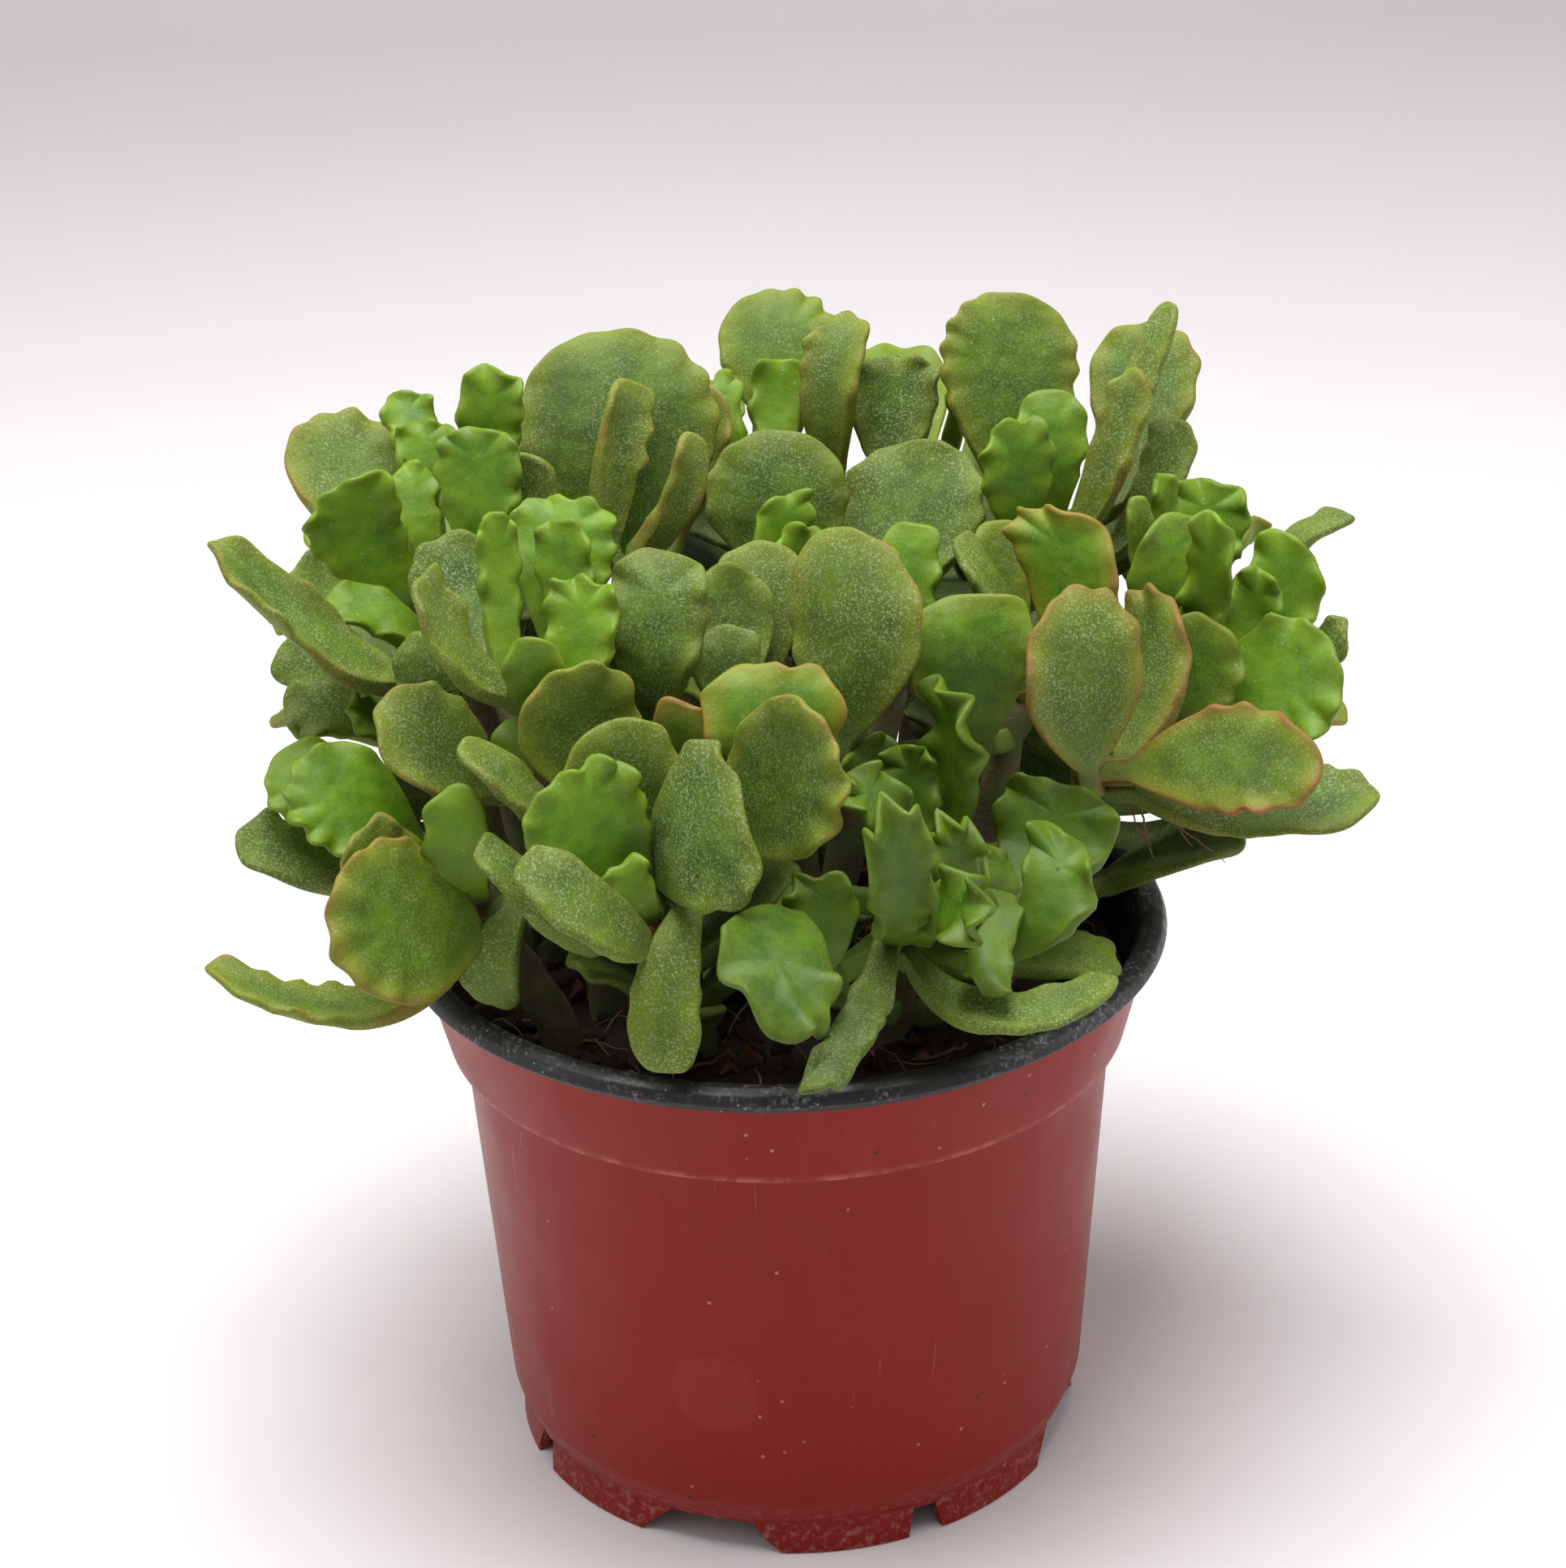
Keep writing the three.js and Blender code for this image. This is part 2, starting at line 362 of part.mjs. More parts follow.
function shapeOf(leaf) {
  const kind = KINDS[leaf.kind];
  const length = len(sub(seen(leaf.tip), seen(leaf.heel)));
  const half = len(sub(seen(leaf.left), seen(leaf.right))) / 2;
  const at = kind.at ?? Math.max(0.45, 1 - half / length);
  return [kind.end, kind.neck, at];
}

// Leaves that overlap as the eye sees them are bent apart in depth until each clears the next.
// Their outline in the photo stays as it was read.
function settle(leaves) {
  const dots = leaves.map(sparse);
  const pairs = [];
  for (let i = 0; i < leaves.length; i += 1) {
    for (let j = i + 1; j < leaves.length; j += 1) {
      const near = [];
      let sum = 0;
      for (const p of dots[i]) {
        for (const q of dots[j]) {
          if (Math.abs(p[0] - q[0]) > PROBE_REACH || Math.abs(p[1] - q[1]) > PROBE_REACH) continue;
          near.push([q[2] - p[2], p[3], q[3]]);
          sum += q[2] - p[2];
        }
      }
      if (near.length) pairs.push({ i, j, near, sign: sum >= 0 ? 1 : -1 });
    }
  }
  for (let round = 0; round < ROUNDS; round += 1) {
    for (const { i, j, near, sign } of pairs) {
      const same = leaves[i].stem === leaves[j].stem;
      let worst = 0;
      let wi = 0;
      let wj = 0;
      for (const [gap, si, sj] of near) {
        if (same && (si < FREE_FROM || sj < FREE_FROM)) continue;
        const clear = sign * (gap + leaves[j].push * sj - leaves[i].push * si);
        const miss = LEAF_GAP - clear;
        if (miss > worst) {
          worst = miss;
          wi = si;
          wj = sj;
        }
      }
      if (worst <= 0) continue;
      const step = STEP * worst / (wi * wi + wj * wj);
      leaves[i].push = clampPush(leaves[i].push - sign * step * wi);
      leaves[j].push = clampPush(leaves[j].push + sign * step * wj);
    }
  }
  for (const leaf of leaves) {
    const [, , at] = shapeOf(leaf);
    leaf.tip = [leaf.tip[0], leaf.tip[1], leaf.tip[2] + leaf.push];
    leaf.left = [leaf.left[0], leaf.left[1], leaf.left[2] + leaf.push * at];
    leaf.right = [leaf.right[0], leaf.right[1], leaf.right[2] + leaf.push * at];
  }
}

// Where a leaf's stalk leaves its stem: a little under the nearest place to the heel
function rootOf(stem, heel) {
  const low = add(stem.from, [0, 0, HOLE_DEPTH + 3]);
  const along = sub(stem.to, low);
  const reach = len(along);
  const dir = mul(along, 1 / reach);
  const t = dot(sub(heel, low), dir);
  const off = len(sub(heel, add(low, mul(dir, t))));
  return add(low, mul(dir, Math.min(Math.max(t - 0.4 * off, 1), reach - 0.5)));
}

// Middle sheet of a leaf: rings from the midrib out to the edge, columns round the edge
function sheet(leaf, rear, front, rings) {
  const heel = seen(leaf.heel);
  const tip = seen(leaf.tip);
  const left = seen(leaf.left);
  const right = seen(leaf.right);
  const root = rootOf(leaf.stem, heel);
  const length = len(sub(tip, heel));
  const a = unit(sub(tip, heel));
  let w = sub(left, right);
  w = sub(w, mul(a, dot(w, a)));
  const half = len(w) / 2;
  const b = unit(w);
  let n = cross(a, b);
  const toward = leaf.faceUp ? [0, 0, 1] : sub(EYE, mix(heel, tip, 0.5));
  if (dot(n, toward) < 0) n = mul(n, -1);
  const [end, neck, at] = shapeOf(leaf);
  const off = sub(mix(left, right, 0.5), heel);
  const bow = 4 * at * (1 - at);
  const sweep = dot(off, b) / bow;
  const lift = dot(off, n) / bow;
  const cols = [[0, 0, STALK]];
  for (let i = 1; i <= rear; i += 1) {
    const s = at * i / (rear + 1);
    cols.push([s, s, STALK + (half - STALK) * Math.sin(0.5 * Math.PI * s / at) ** neck]);
  }
  for (let i = 0; i <= front; i += 1) {
    const turn = 0.5 * Math.PI * (1 - i / front);
    const c = Math.cos(turn) ** (2 / end);
    const q = Math.sin(turn) ** (2 / end);
    cols.push([at, at + (1 - at) * c, half * q]);
  }
  const round = [...cols, ...cols.slice(0, -1).reverse().map(([s, x, y]) => [s, x, -y])];
  const bend = rad(leaf.fold) / half;
  const out = [];
  for (let r = 0; r <= rings; r += 1) {
    const rho = r / rings;
    const line = [];
    round.forEach(([spine, edge, y], i) => {
      const m = -1 + 2 * i / (round.length - 1);
      const s = spine + (edge - spine) * rho;
      const env = ease((s - 0.15) / 0.4);
      const flat = y * rho;
      const curled = Math.abs(bend) > 1e-6 ? Math.sin(bend * flat) / bend : flat;
      const raised = Math.abs(bend) > 1e-6 ? (1 - Math.cos(bend * flat)) / bend : 0;
      const bowing = 4 * s * (1 - s);
      const wave = Math.sin(Math.PI * leaf.waves * m) * rho * rho * env * leaf.wave;
      const across = flat + (curled - flat) * env + sweep * bowing;
      const high = raised * env + wave + lift * bowing;
      line.push(add(heel, add(mul(a, s * length), add(mul(b, across), mul(n, high)))));
    });
    out.push(line);
  }
  const down = unit(sub(heel, root));
  let bs = sub(b, mul(down, dot(b, down)));
  bs = len(bs) > 0.2 ? unit(bs) : b;
  out.forEach((line, r) => {
    line.unshift(add(root, mul(bs, STALK * r / rings)));
    line.push(sub(root, mul(bs, STALK * r / rings)));
  });
  return out;
}

// Thickness at a place: stalk round, blade even, edge thin
const thickness = (fromEdge, fromRoot) => {
  const blade = EDGE_THICK + (BLADE_THICK - EDGE_THICK) * Math.sqrt(Math.min(1, fromEdge));
  return blade + (STALK_THICK - blade) * (1 - ease(fromRoot));
};

// Closed body of a leaf: the sheet's two faces, triangulated alike, and the edge between them
function leafBody(leaf, rear, front, rings) {
  const grid = sheet(leaf, rear, front, rings);
  const points = [];
  const rim = [];
  const start = [];
  const ids = new Map();
  const at = grid.map((line, r) => line.map((p, i) => {
    const key = p.map((c) => Math.round(c * 1e4)).join();
    if (!ids.has(key)) {
      ids.set(key, points.length);
      points.push(p);
      rim.push(1 - r / rings);
      start.push(Math.min(i, line.length - 1 - i) / (rear + 2));
    }
    return ids.get(key);
  }));
  const tris = [];
  const put = (i, j, k) => {
    if (i !== j && j !== k && i !== k) tris.push([i, j, k]);
  };
  for (let r = 0; r < rings; r += 1) {
    for (let i = 0; i + 1 < grid[0].length; i += 1) {
      const [p, q, s, t] = [at[r][i], at[r][i + 1], at[r + 1][i + 1], at[r + 1][i]];
      put(p, q, s);
      put(p, s, t);
    }
  }
  const normals = points.map(() => [0, 0, 0]);
  for (const [i, j, k] of tris) {
    const n = cross(sub(points[j], points[i]), sub(points[k], points[i]));
    for (const v of [i, j, k]) normals[v] = add(normals[v], n);
  }
  const top = [];
  const low = [];
  points.forEach((p, v) => {
    const n = unit(normals[v]);
    const t = thickness(rim[v], start[v]);
    top.push(add(p, mul(n, 0.5 * t)));
    low.push(sub(p, mul(n, 0.5 * t)));
  });
  const count = points.length;
  const faces = [];
  const edges = new Map();
  for (const [i, j, k] of tris) {
    faces.push([i, j, k], [i + count, k + count, j + count]);
    for (const [s, t] of [[i, j], [j, k], [k, i]]) {
      if (edges.has(`${t},${s}`)) edges.delete(`${t},${s}`);
      else edges.set(`${s},${t}`, [s, t]);
    }
  }
  for (const [s, t] of edges.values()) faces.push([s, s + count, t + count], [s, t + count, t]);
  return solid([...top, ...low], faces);
}

// Manifold body from points and faces, turned right way out
function solid(points, faces) {
  const build = (list) => new wasm.Manifold(new wasm.Mesh({
    numProp: 3,
    vertProperties: new Float32Array(points.flat()),
    triVerts: new Uint32Array(list.flat()),
  }));
  const body = build(faces);
  return body.volume() > 0 ? body : build(faces.map(([i, j, k]) => [i, k, j]));
}

// Body of a three geometry
function bodyOf(geometry) {
  const plain = geometry.clone();
  plain.deleteAttribute('normal');
  plain.deleteAttribute('uv');
  const merged = mergeVertices(plain, 1e-5);
  const list = [];
  const index = merged.index.array;
  for (let i = 0; i < index.length; i += 3) {
    const [p, q, r] = [index[i], index[i + 1], index[i + 2]];
    if (p !== q && q !== r && p !== r) list.push(p, q, r);
  }
  return new wasm.Manifold(new wasm.Mesh({
    numProp: 3,
    vertProperties: new Float32Array(merged.attributes.position.array),
    triVerts: new Uint32Array(list),
  }));
}

// Named mesh of a manifold body
function toMesh(body, name, color, roughness) {
  const mesh = body.getMesh();
  const geometry = new THREE.BufferGeometry();
  const position = new Float32Array(mesh.numVert * 3);
  for (let i = 0; i < mesh.numVert; i += 1) {
    for (let c = 0; c < 3; c += 1) position[3 * i + c] = mesh.vertProperties[i * mesh.numProp + c];
  }
  geometry.setAttribute('position', new THREE.BufferAttribute(position, 3));
  geometry.setIndex(new THREE.BufferAttribute(new Uint32Array(mesh.triVerts), 1));
  geometry.computeVertexNormals();
  const out = new THREE.Mesh(geometry, new THREE.MeshStandardMaterial({ color, roughness }));
  out.name = name;
  return out;
}

// Stem: a round tapered stalk from the bottom of its hole to the crown
function stemBody({ from, to }) {
  const lift = [0, 0, HOLE_DEPTH + 3];
  const path = [from, add(from, lift), to];
  const radii = [STEM_RADIUS, STEM_RADIUS, STEM_RADIUS * 0.8];
  const points = [];
  const faces = [];
  path.forEach((p, r) => {
    const ahead = r + 1 < path.length ? sub(path[r + 1], p) : sub(p, path[r - 1]);
    const dir = r === 0 || r === 1 ? [0, 0, 1] : unit(ahead);
    const x = unit(cross([0, 1, 0], dir));
    const y = cross(dir, x);
    for (let i = 0; i < STEM_SIDES; i += 1) {
      const turn = 2 * Math.PI * i / STEM_SIDES;
      points.push(add(p, add(mul(x, radii[r] * Math.cos(turn)), mul(y, radii[r] * Math.sin(turn)))));
    }
  });
  const foot = points.length;
  points.push(from);
  points.push(add(to, mul(unit(sub(to, path[1])), 1.5)));
  for (let r = 0; r + 1 < path.length; r += 1) {
    for (let i = 0; i < STEM_SIDES; i += 1) {
      const p = r * STEM_SIDES + i;
      const q = r * STEM_SIDES + (i + 1) % STEM_SIDES;
      faces.push([p, q, q + STEM_SIDES], [p, q + STEM_SIDES, p + STEM_SIDES]);
    }
  }
  const last = (path.length - 1) * STEM_SIDES;
  for (let i = 0; i < STEM_SIDES; i += 1) {
    const q = (i + 1) % STEM_SIDES;
    faces.push([foot, q, i], [foot + 1, last + i, last + q]);
  }
  return solid(points, faces);
}

// Turned body from a closed (radius, height) outline
function turned(outline, sides) {
  const points = [...outline, outline[0]].map(([r, z]) => new THREE.Vector2(r, z));
  const geometry = new THREE.LatheGeometry(points, sides);
  geometry.rotateX(Math.PI / 2);
  const body = bodyOf(geometry);
  return body.volume() > 0 ? body : bodyOf(flip(geometry));
}

function flip(geometry) {
  const index = geometry.index.array;
  for (let i = 0; i < index.length; i += 3) [index[i], index[i + 1]] = [index[i + 1], index[i]];
  return geometry;
}

const FOOT_CUT_INNER = 30;
const FOOT_CUT_OUTER = 48;

// Wedge that cuts a gap in the foot, wider at the floor than at its top
function footCut(at, half, topHalf, height) {
  const points = [];
  for (const r of [FOOT_CUT_INNER, FOOT_CUT_OUTER]) {
    for (const [turn, z] of [[-half, -1], [half, -1], [topHalf, height], [-topHalf, height]]) {
      const t = rad(at + turn);
      points.push([r * Math.cos(t), r * Math.sin(t), z]);
    }
  }
  const faces = [[0, 1, 2], [0, 2, 3], [4, 6, 5], [4, 7, 6]];
  for (let i = 0; i < 4; i += 1) {
    const j = (i + 1) % 4;
    faces.push([i, i + 4, j + 4], [i, j + 4, j]);
  }
  return solid(points, faces);
}

const drainHole = (x, y) => peg(x, y, DRAIN_RADIUS, FOOT_HEIGHT - 2, SOIL_FOOT + 2);

function potBody() {
  const outline = [
    [FOOT_RADIUS, 0],
    [FOOT_RADIUS - 0.8, FOOT_HEIGHT - 0.1],
    [BASE_RADIUS, FOOT_HEIGHT + 0.4],
    [BODY_FOOT_RADIUS, BODY_FOOT],
    [BODY_TOP_RADIUS, COLLAR_FOOT - 0.6],
    [COLLAR_FOOT_RADIUS, COLLAR_FOOT],
    [COLLAR_TOP_RADIUS, COLLAR_TOP],
    [COLLAR_TOP_RADIUS + 0.8, LIP_TOP - 2.7],
    [LIP_RADIUS, LIP_TOP - 2.1],
    [LIP_RADIUS - 0.7, LIP_TOP - 0.5],
    [LIP_RADIUS - 2.0, LIP_TOP],
    [LIP_INNER + 0.8, LIP_TOP - 0.1],
    [LIP_INNER, LIP_TOP - 1.2],
    [COLLAR_FOOT_RADIUS - SHEET - 0.1, COLLAR_FOOT + 1.0],
    [BODY_TOP_RADIUS - SHEET, COLLAR_FOOT - 0.4],
    [BODY_FOOT_RADIUS - SHEET, BODY_FOOT + 0.4],
    [BASE_RADIUS - SHEET, SOIL_FOOT - 0.4],
    [0, SOIL_FOOT - 0.4],
    [0, FOOT_HEIGHT + 0.2],
    [FOOT_RADIUS - FOOT_WALL - 0.5, FOOT_HEIGHT + 0.2],
    [FOOT_RADIUS - FOOT_WALL, 0],
  ];
  let pot = turned(outline, POT_SIDES);
  for (let i = 0; i < 4; i += 1) {
    pot = pot.subtract(footCut(WIDE_GAP_AT + 90 * i, WIDE_GAP_HALF, WIDE_GAP_TOP_HALF, FOOT_HEIGHT - 0.4));
    pot = pot.subtract(footCut(NOTCH_AT + 90 * i, NOTCH_HALF, NOTCH_TOP_HALF, NOTCH_DEPTH));
    const turn = rad(WIDE_GAP_AT + 90 * i);
    pot = pot.subtract(drainHole(DRAIN_RING * Math.cos(turn), DRAIN_RING * Math.sin(turn)));
  }
  return pot.subtract(drainHole(0, 0));
}

// Upright round peg between two heights
function peg(x, y, radius, low, high) {
  const geometry = new THREE.CylinderGeometry(radius, radius, high - low, 6);
  geometry.rotateX(Math.PI / 2);
  geometry.translate(x, y, (low + high) / 2);
  return bodyOf(geometry);
}

// Height of the soil over its mean level
const bumps = (x, y) => 0.6 * Math.sin(0.21 * x + 1.3) * Math.cos(0.17 * y - 0.4)
  + 0.4 * Math.sin(0.43 * x - 0.31 * y);

// Rings and sides of the soil's top, and how much wider a six-sided hole is to clear a stem
const SOIL_RINGS = [0.4, 0.75, 1];
const SOIL_SIDES = 16;
const HOLE_CORNER = 0.6;

function soilBody(stems) {
  const wall = [
    [BASE_RADIUS - SHEET - SOIL_GAP, SOIL_FOOT],
    [BODY_FOOT_RADIUS - SHEET - SOIL_GAP, BODY_FOOT + 0.9],
    [BODY_TOP_RADIUS - SHEET - SOIL_GAP, COLLAR_FOOT - 0.2],
    [COLLAR_FOOT_RADIUS - SHEET - SOIL_GAP - 0.3, COLLAR_FOOT + 1.6],
  ];
  const brim = COLLAR_FOOT_RADIUS - SHEET - SOIL_GAP + 0.9;
  const points = [[0, 0, SOIL_FOOT]];
  const rings = [...wall.map(([r, z]) => [r, () => z]), ...[...SOIL_RINGS].reverse().map((s) => [
    brim * s, (x, y) => SOIL_TOP + bumps(x, y) * Math.min(1, 3 * (1 - s) + 0.3),
  ])];
  for (const [r, z] of rings) {
    for (let i = 0; i < SOIL_SIDES; i += 1) {
      const turn = 2 * Math.PI * i / SOIL_SIDES;
      const [x, y] = [r * Math.cos(turn), r * Math.sin(turn)];
      points.push([x, y, z(x, y)]);
    }
  }
  points.push([0, 0, SOIL_TOP + bumps(0, 0)]);
  const faces = [];
  for (let i = 0; i < SOIL_SIDES; i += 1) {
    const j = (i + 1) % SOIL_SIDES;
    faces.push([0, 1 + j, 1 + i]);
    for (let k = 0; k + 1 < rings.length; k += 1) {
      const p = 1 + k * SOIL_SIDES;
      faces.push([p + i, p + j, p + SOIL_SIDES + j], [p + i, p + SOIL_SIDES + j, p + SOIL_SIDES + i]);
    }
    const q = 1 + (rings.length - 1) * SOIL_SIDES;
    faces.push([q + i, q + j, points.length - 1]);
  }
  let soil = solid(points, faces);
  const feet = new Set();
  for (const { from: [x, y, z] } of stems) {
    if (feet.has(`${x},${y}`)) continue;
    feet.add(`${x},${y}`);
    soil = soil.subtract(peg(x, y, STEM_RADIUS + HOLE_GAP + HOLE_CORNER, z - HOLE_GAP, SOIL_TOP + 9));
  }
  return soil;
}

// Leaves with few sides each, ruffled ones with more
const RUFFLED = 0.95;
const SMALL_LEAF = 15;

function shoots() {
  const { leaves, stems } = listLeaves();
  settle(leaves);
  const bodies = leaves.map((leaf) => {
    if (leaf.wave > RUFFLED) return leafBody(leaf, 1, 5, 1);
    const small = leaf.faceUp || len(sub(seen(leaf.left), seen(leaf.right))) < SMALL_LEAF;
    return leafBody(leaf, 1, small ? 3 : 4, 1);
  });
  return { leaves, stems, bodies };
}

// One body without the small closed pockets that crossing stalks leave inside
function filled(body) {
  const shells = body.decompose();
  shells.sort((p, q) => q.volume() - p.volume());
  return shells[0];
}

const POT_RED = 0x8a3528;
const SOIL_BROWN = 0x1f1712;
const LEAF_GREEN = 0x7d9c45;

function assemble() {
  const group = new THREE.Group();
  group.name = 'potted_crinkle_leaf_plant';
  const { leaves, stems, bodies } = shoots();
  group.add(toMesh(potBody(), 'pot', POT_RED, 0.45));
  group.add(toMesh(soilBody(stems), 'soil', SOIL_BROWN, 0.95));
  for (const name of new Set(stems.map((s) => s.shoot))) {
    const list = stems.filter((s) => s.shoot === name).map(stemBody);
    leaves.forEach((leaf, i) => {
      if (leaf.shoot === name) list.push(bodies[i]);
    });
    const body = filled(wasm.Manifold.union(list).simplify(FINEST));
    group.add(toMesh(body, `shoot_${name}`, LEAF_GREEN, 0.6));
  }
  // The frame's origin is the middle of the plant's box, on the floor
  const middle = new THREE.Box3().setFromObject(group).getCenter(new THREE.Vector3());
  for (const mesh of group.children) mesh.geometry.translate(-middle.x, -middle.y, 0);
  return group;
}

export default assemble();
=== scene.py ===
"""A crinkle-leaf succulent in a two-tone nursery pot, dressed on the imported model."""

import math

import bpy
import numpy as np
from mathutils import Matrix, Vector
from mathutils.kdtree import KDTree


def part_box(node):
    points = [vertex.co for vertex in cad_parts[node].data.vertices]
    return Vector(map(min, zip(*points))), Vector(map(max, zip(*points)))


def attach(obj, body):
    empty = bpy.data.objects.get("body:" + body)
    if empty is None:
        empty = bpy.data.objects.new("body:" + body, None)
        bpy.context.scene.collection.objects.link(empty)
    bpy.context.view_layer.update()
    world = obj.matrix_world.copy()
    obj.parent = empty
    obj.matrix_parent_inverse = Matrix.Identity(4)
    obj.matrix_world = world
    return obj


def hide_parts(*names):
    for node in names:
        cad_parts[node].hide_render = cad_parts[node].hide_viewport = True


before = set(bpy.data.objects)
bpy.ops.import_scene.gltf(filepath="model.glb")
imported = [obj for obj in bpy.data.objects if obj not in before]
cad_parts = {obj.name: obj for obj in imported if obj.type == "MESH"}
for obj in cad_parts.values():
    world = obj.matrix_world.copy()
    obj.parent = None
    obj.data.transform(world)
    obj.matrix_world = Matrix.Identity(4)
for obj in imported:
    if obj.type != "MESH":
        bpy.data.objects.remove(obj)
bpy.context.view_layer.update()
pot_low, pot_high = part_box("pot")

# Camera
# One long lens that looks down on the pot's front. Millimetres from the pot's axis on the floor.
MM = 0.001
AXIS = Vector(((pot_low.x + pot_high.x) / 2, (pot_low.y + pot_high.y) / 2, 0))
CAMERA_AT = (0.36, -417.44, 291.13)
CAMERA_TARGET = (0.36, 0.0, 97.22)
CAMERA_ROLL = 1.663
LENS = 78.26


def place(point):
    """Metres in the row's frame of a point in millimetres from the pot's axis."""
    return AXIS + Vector(point) * MM


camera_data = bpy.data.cameras.new("camera")
camera_data.sensor_width = 36
camera_data.lens = LENS
camera_data.clip_start = 0.01
camera = bpy.data.objects.new("camera", camera_data)
camera.rotation_mode = "QUATERNION"
camera.location = place(CAMERA_AT)
sight = place(CAMERA_TARGET) - place(CAMERA_AT)
roll = Matrix.Rotation(math.radians(CAMERA_ROLL), 4, sight)
level = sight.to_track_quat("-Z", "Y").to_matrix().to_4x4()
camera.rotation_quaternion = (roll @ level).to_quaternion()
bpy.context.scene.collection.objects.link(camera)
bpy.context.scene.camera = camera

# Pot
# A thermoformed nursery pot: one thin sheet, brick red outside and black inside, with a rolled
# black rim, a collar that ends in a ledge, and a castellated foot. It stands on the foot's ring.
LIP_RADIUS = 52.5
LIP_TOP = 79.2
LIP_INNER = 48.4
LIP_BAND = 3.9
COLLAR_TOP = 75.4
COLLAR_TOP_RADIUS = 50.0
COLLAR_FOOT = 63.2
COLLAR_FOOT_RADIUS = 47.0
BODY_TOP_RADIUS = 44.9
BODY_FOOT = 8.8
BODY_FOOT_RADIUS = 41.2
BASE_RADIUS = 39.9
FOOT_HEIGHT = 5.0
FOOT_RADIUS = 40.15
FOOT_WALL = 1.5
FLOOR_TOP = 6.4
SHEET = 1.1
POT_SIDES = 160
ROUNDING = 0.55
WALL_HEIGHTS = [BODY_FOOT, COLLAR_FOOT, COLLAR_TOP]
WALL_RADII = [BODY_FOOT_RADIUS, BODY_TOP_RADIUS, COLLAR_TOP_RADIUS]
WIDE_GAP_AT = -108.3
WIDE_GAP_HALF = 16.5
WIDE_GAP_TOP_HALF = 8.5
NOTCH_AT = -64.6
NOTCH_HALF = 4.2
NOTCH_TOP_HALF = 2.5
NOTCH_DEPTH = 4.2
DRAIN_RADIUS = 4.0
DRAIN_RING = 24.0
FOOT_CUT = (30, 48)
SHARP_TURN = math.radians(32)
POT_OUTLINE = [
    (FOOT_RADIUS, 0),
    (FOOT_RADIUS - 0.8, FOOT_HEIGHT - 0.1),
    (BASE_RADIUS, FOOT_HEIGHT + 0.4),
    (BODY_FOOT_RADIUS, BODY_FOOT),
    (BODY_TOP_RADIUS, COLLAR_FOOT - 0.6),
    (COLLAR_FOOT_RADIUS, COLLAR_FOOT),
    (COLLAR_TOP_RADIUS, COLLAR_TOP),
    (COLLAR_TOP_RADIUS + 0.8, LIP_TOP - 2.7),
    (LIP_RADIUS, LIP_TOP - 2.1),
    (LIP_RADIUS - 0.7, LIP_TOP - 0.5),
    (LIP_RADIUS - 2.0, LIP_TOP),
    (LIP_INNER + 0.8, LIP_TOP - 0.1),
    (LIP_INNER, LIP_TOP - 1.2),
    (COLLAR_FOOT_RADIUS - SHEET - 0.1, COLLAR_FOOT + 1.0),
    (BODY_TOP_RADIUS - SHEET, COLLAR_FOOT - 0.4),
    (BODY_FOOT_RADIUS - SHEET, BODY_FOOT + 0.4),
    (BASE_RADIUS - SHEET, FLOOR_TOP),
    (0, FLOOR_TOP),
    (0, FOOT_HEIGHT + 0.2),
    (FOOT_RADIUS - FOOT_WALL - 0.5, FOOT_HEIGHT + 0.2),
    (FOOT_RADIUS - FOOT_WALL, 0),
]


def deselect():
    if bpy.context.object and bpy.context.object.mode != "OBJECT":
        bpy.ops.object.mode_set(mode="OBJECT")
    bpy.ops.object.select_all(action="DESELECT")


def take(piece):
    """Makes a piece the only selected and active object."""
    deselect()
    piece.select_set(True)
    bpy.context.view_layer.objects.active = piece


def mesh_piece(name, points, faces):
    """A piece from points in millimetres from the pot's axis and faces."""
    points = np.asarray(points, float) * MM + np.array(AXIS)
    mesh = bpy.data.meshes.new(name)
    mesh.from_pydata(points.tolist(), [], faces)
    mesh.validate()
    piece = bpy.data.objects.new(name, mesh)
    bpy.context.scene.collection.objects.link(piece)
    return piece


def apply_modifiers(piece):
    take(piece)
    for modifier in list(piece.modifiers):
        bpy.ops.object.modifier_apply(modifier=modifier.name)


def turned(name, outline, sides):
    """A closed outline (radius, height) turned round the pot's axis."""
    count = len(outline)
    mesh = bpy.data.meshes.new(name)
    edges = [(i, (i + 1) % count) for i in range(count) if outline[i][0] or outline[(i + 1) % count][0]]
    mesh.from_pydata([(r * MM, 0, z * MM) for r, z in outline], edges, [])
    piece = bpy.data.objects.new(name, mesh)
    bpy.context.scene.collection.objects.link(piece)
    bevel = piece.modifiers.new("rounding", "BEVEL")
    bevel.affect = "VERTICES"
    bevel.width = ROUNDING * MM
    bevel.segments = 3
    screw = piece.modifiers.new("turn", "SCREW")
    screw.steps = sides
    screw.render_steps = sides
    screw.use_merge_vertices = True
    screw.merge_threshold = 1e-6
    apply_modifiers(piece)
    bpy.ops.object.mode_set(mode="EDIT")
    bpy.ops.mesh.select_all(action="SELECT")
    bpy.ops.mesh.remove_doubles(threshold=1e-6)
    bpy.ops.mesh.normals_make_consistent(inside=False)
    bpy.ops.object.mode_set(mode="OBJECT")
    piece.data.transform(Matrix.Translation(AXIS))
    return piece


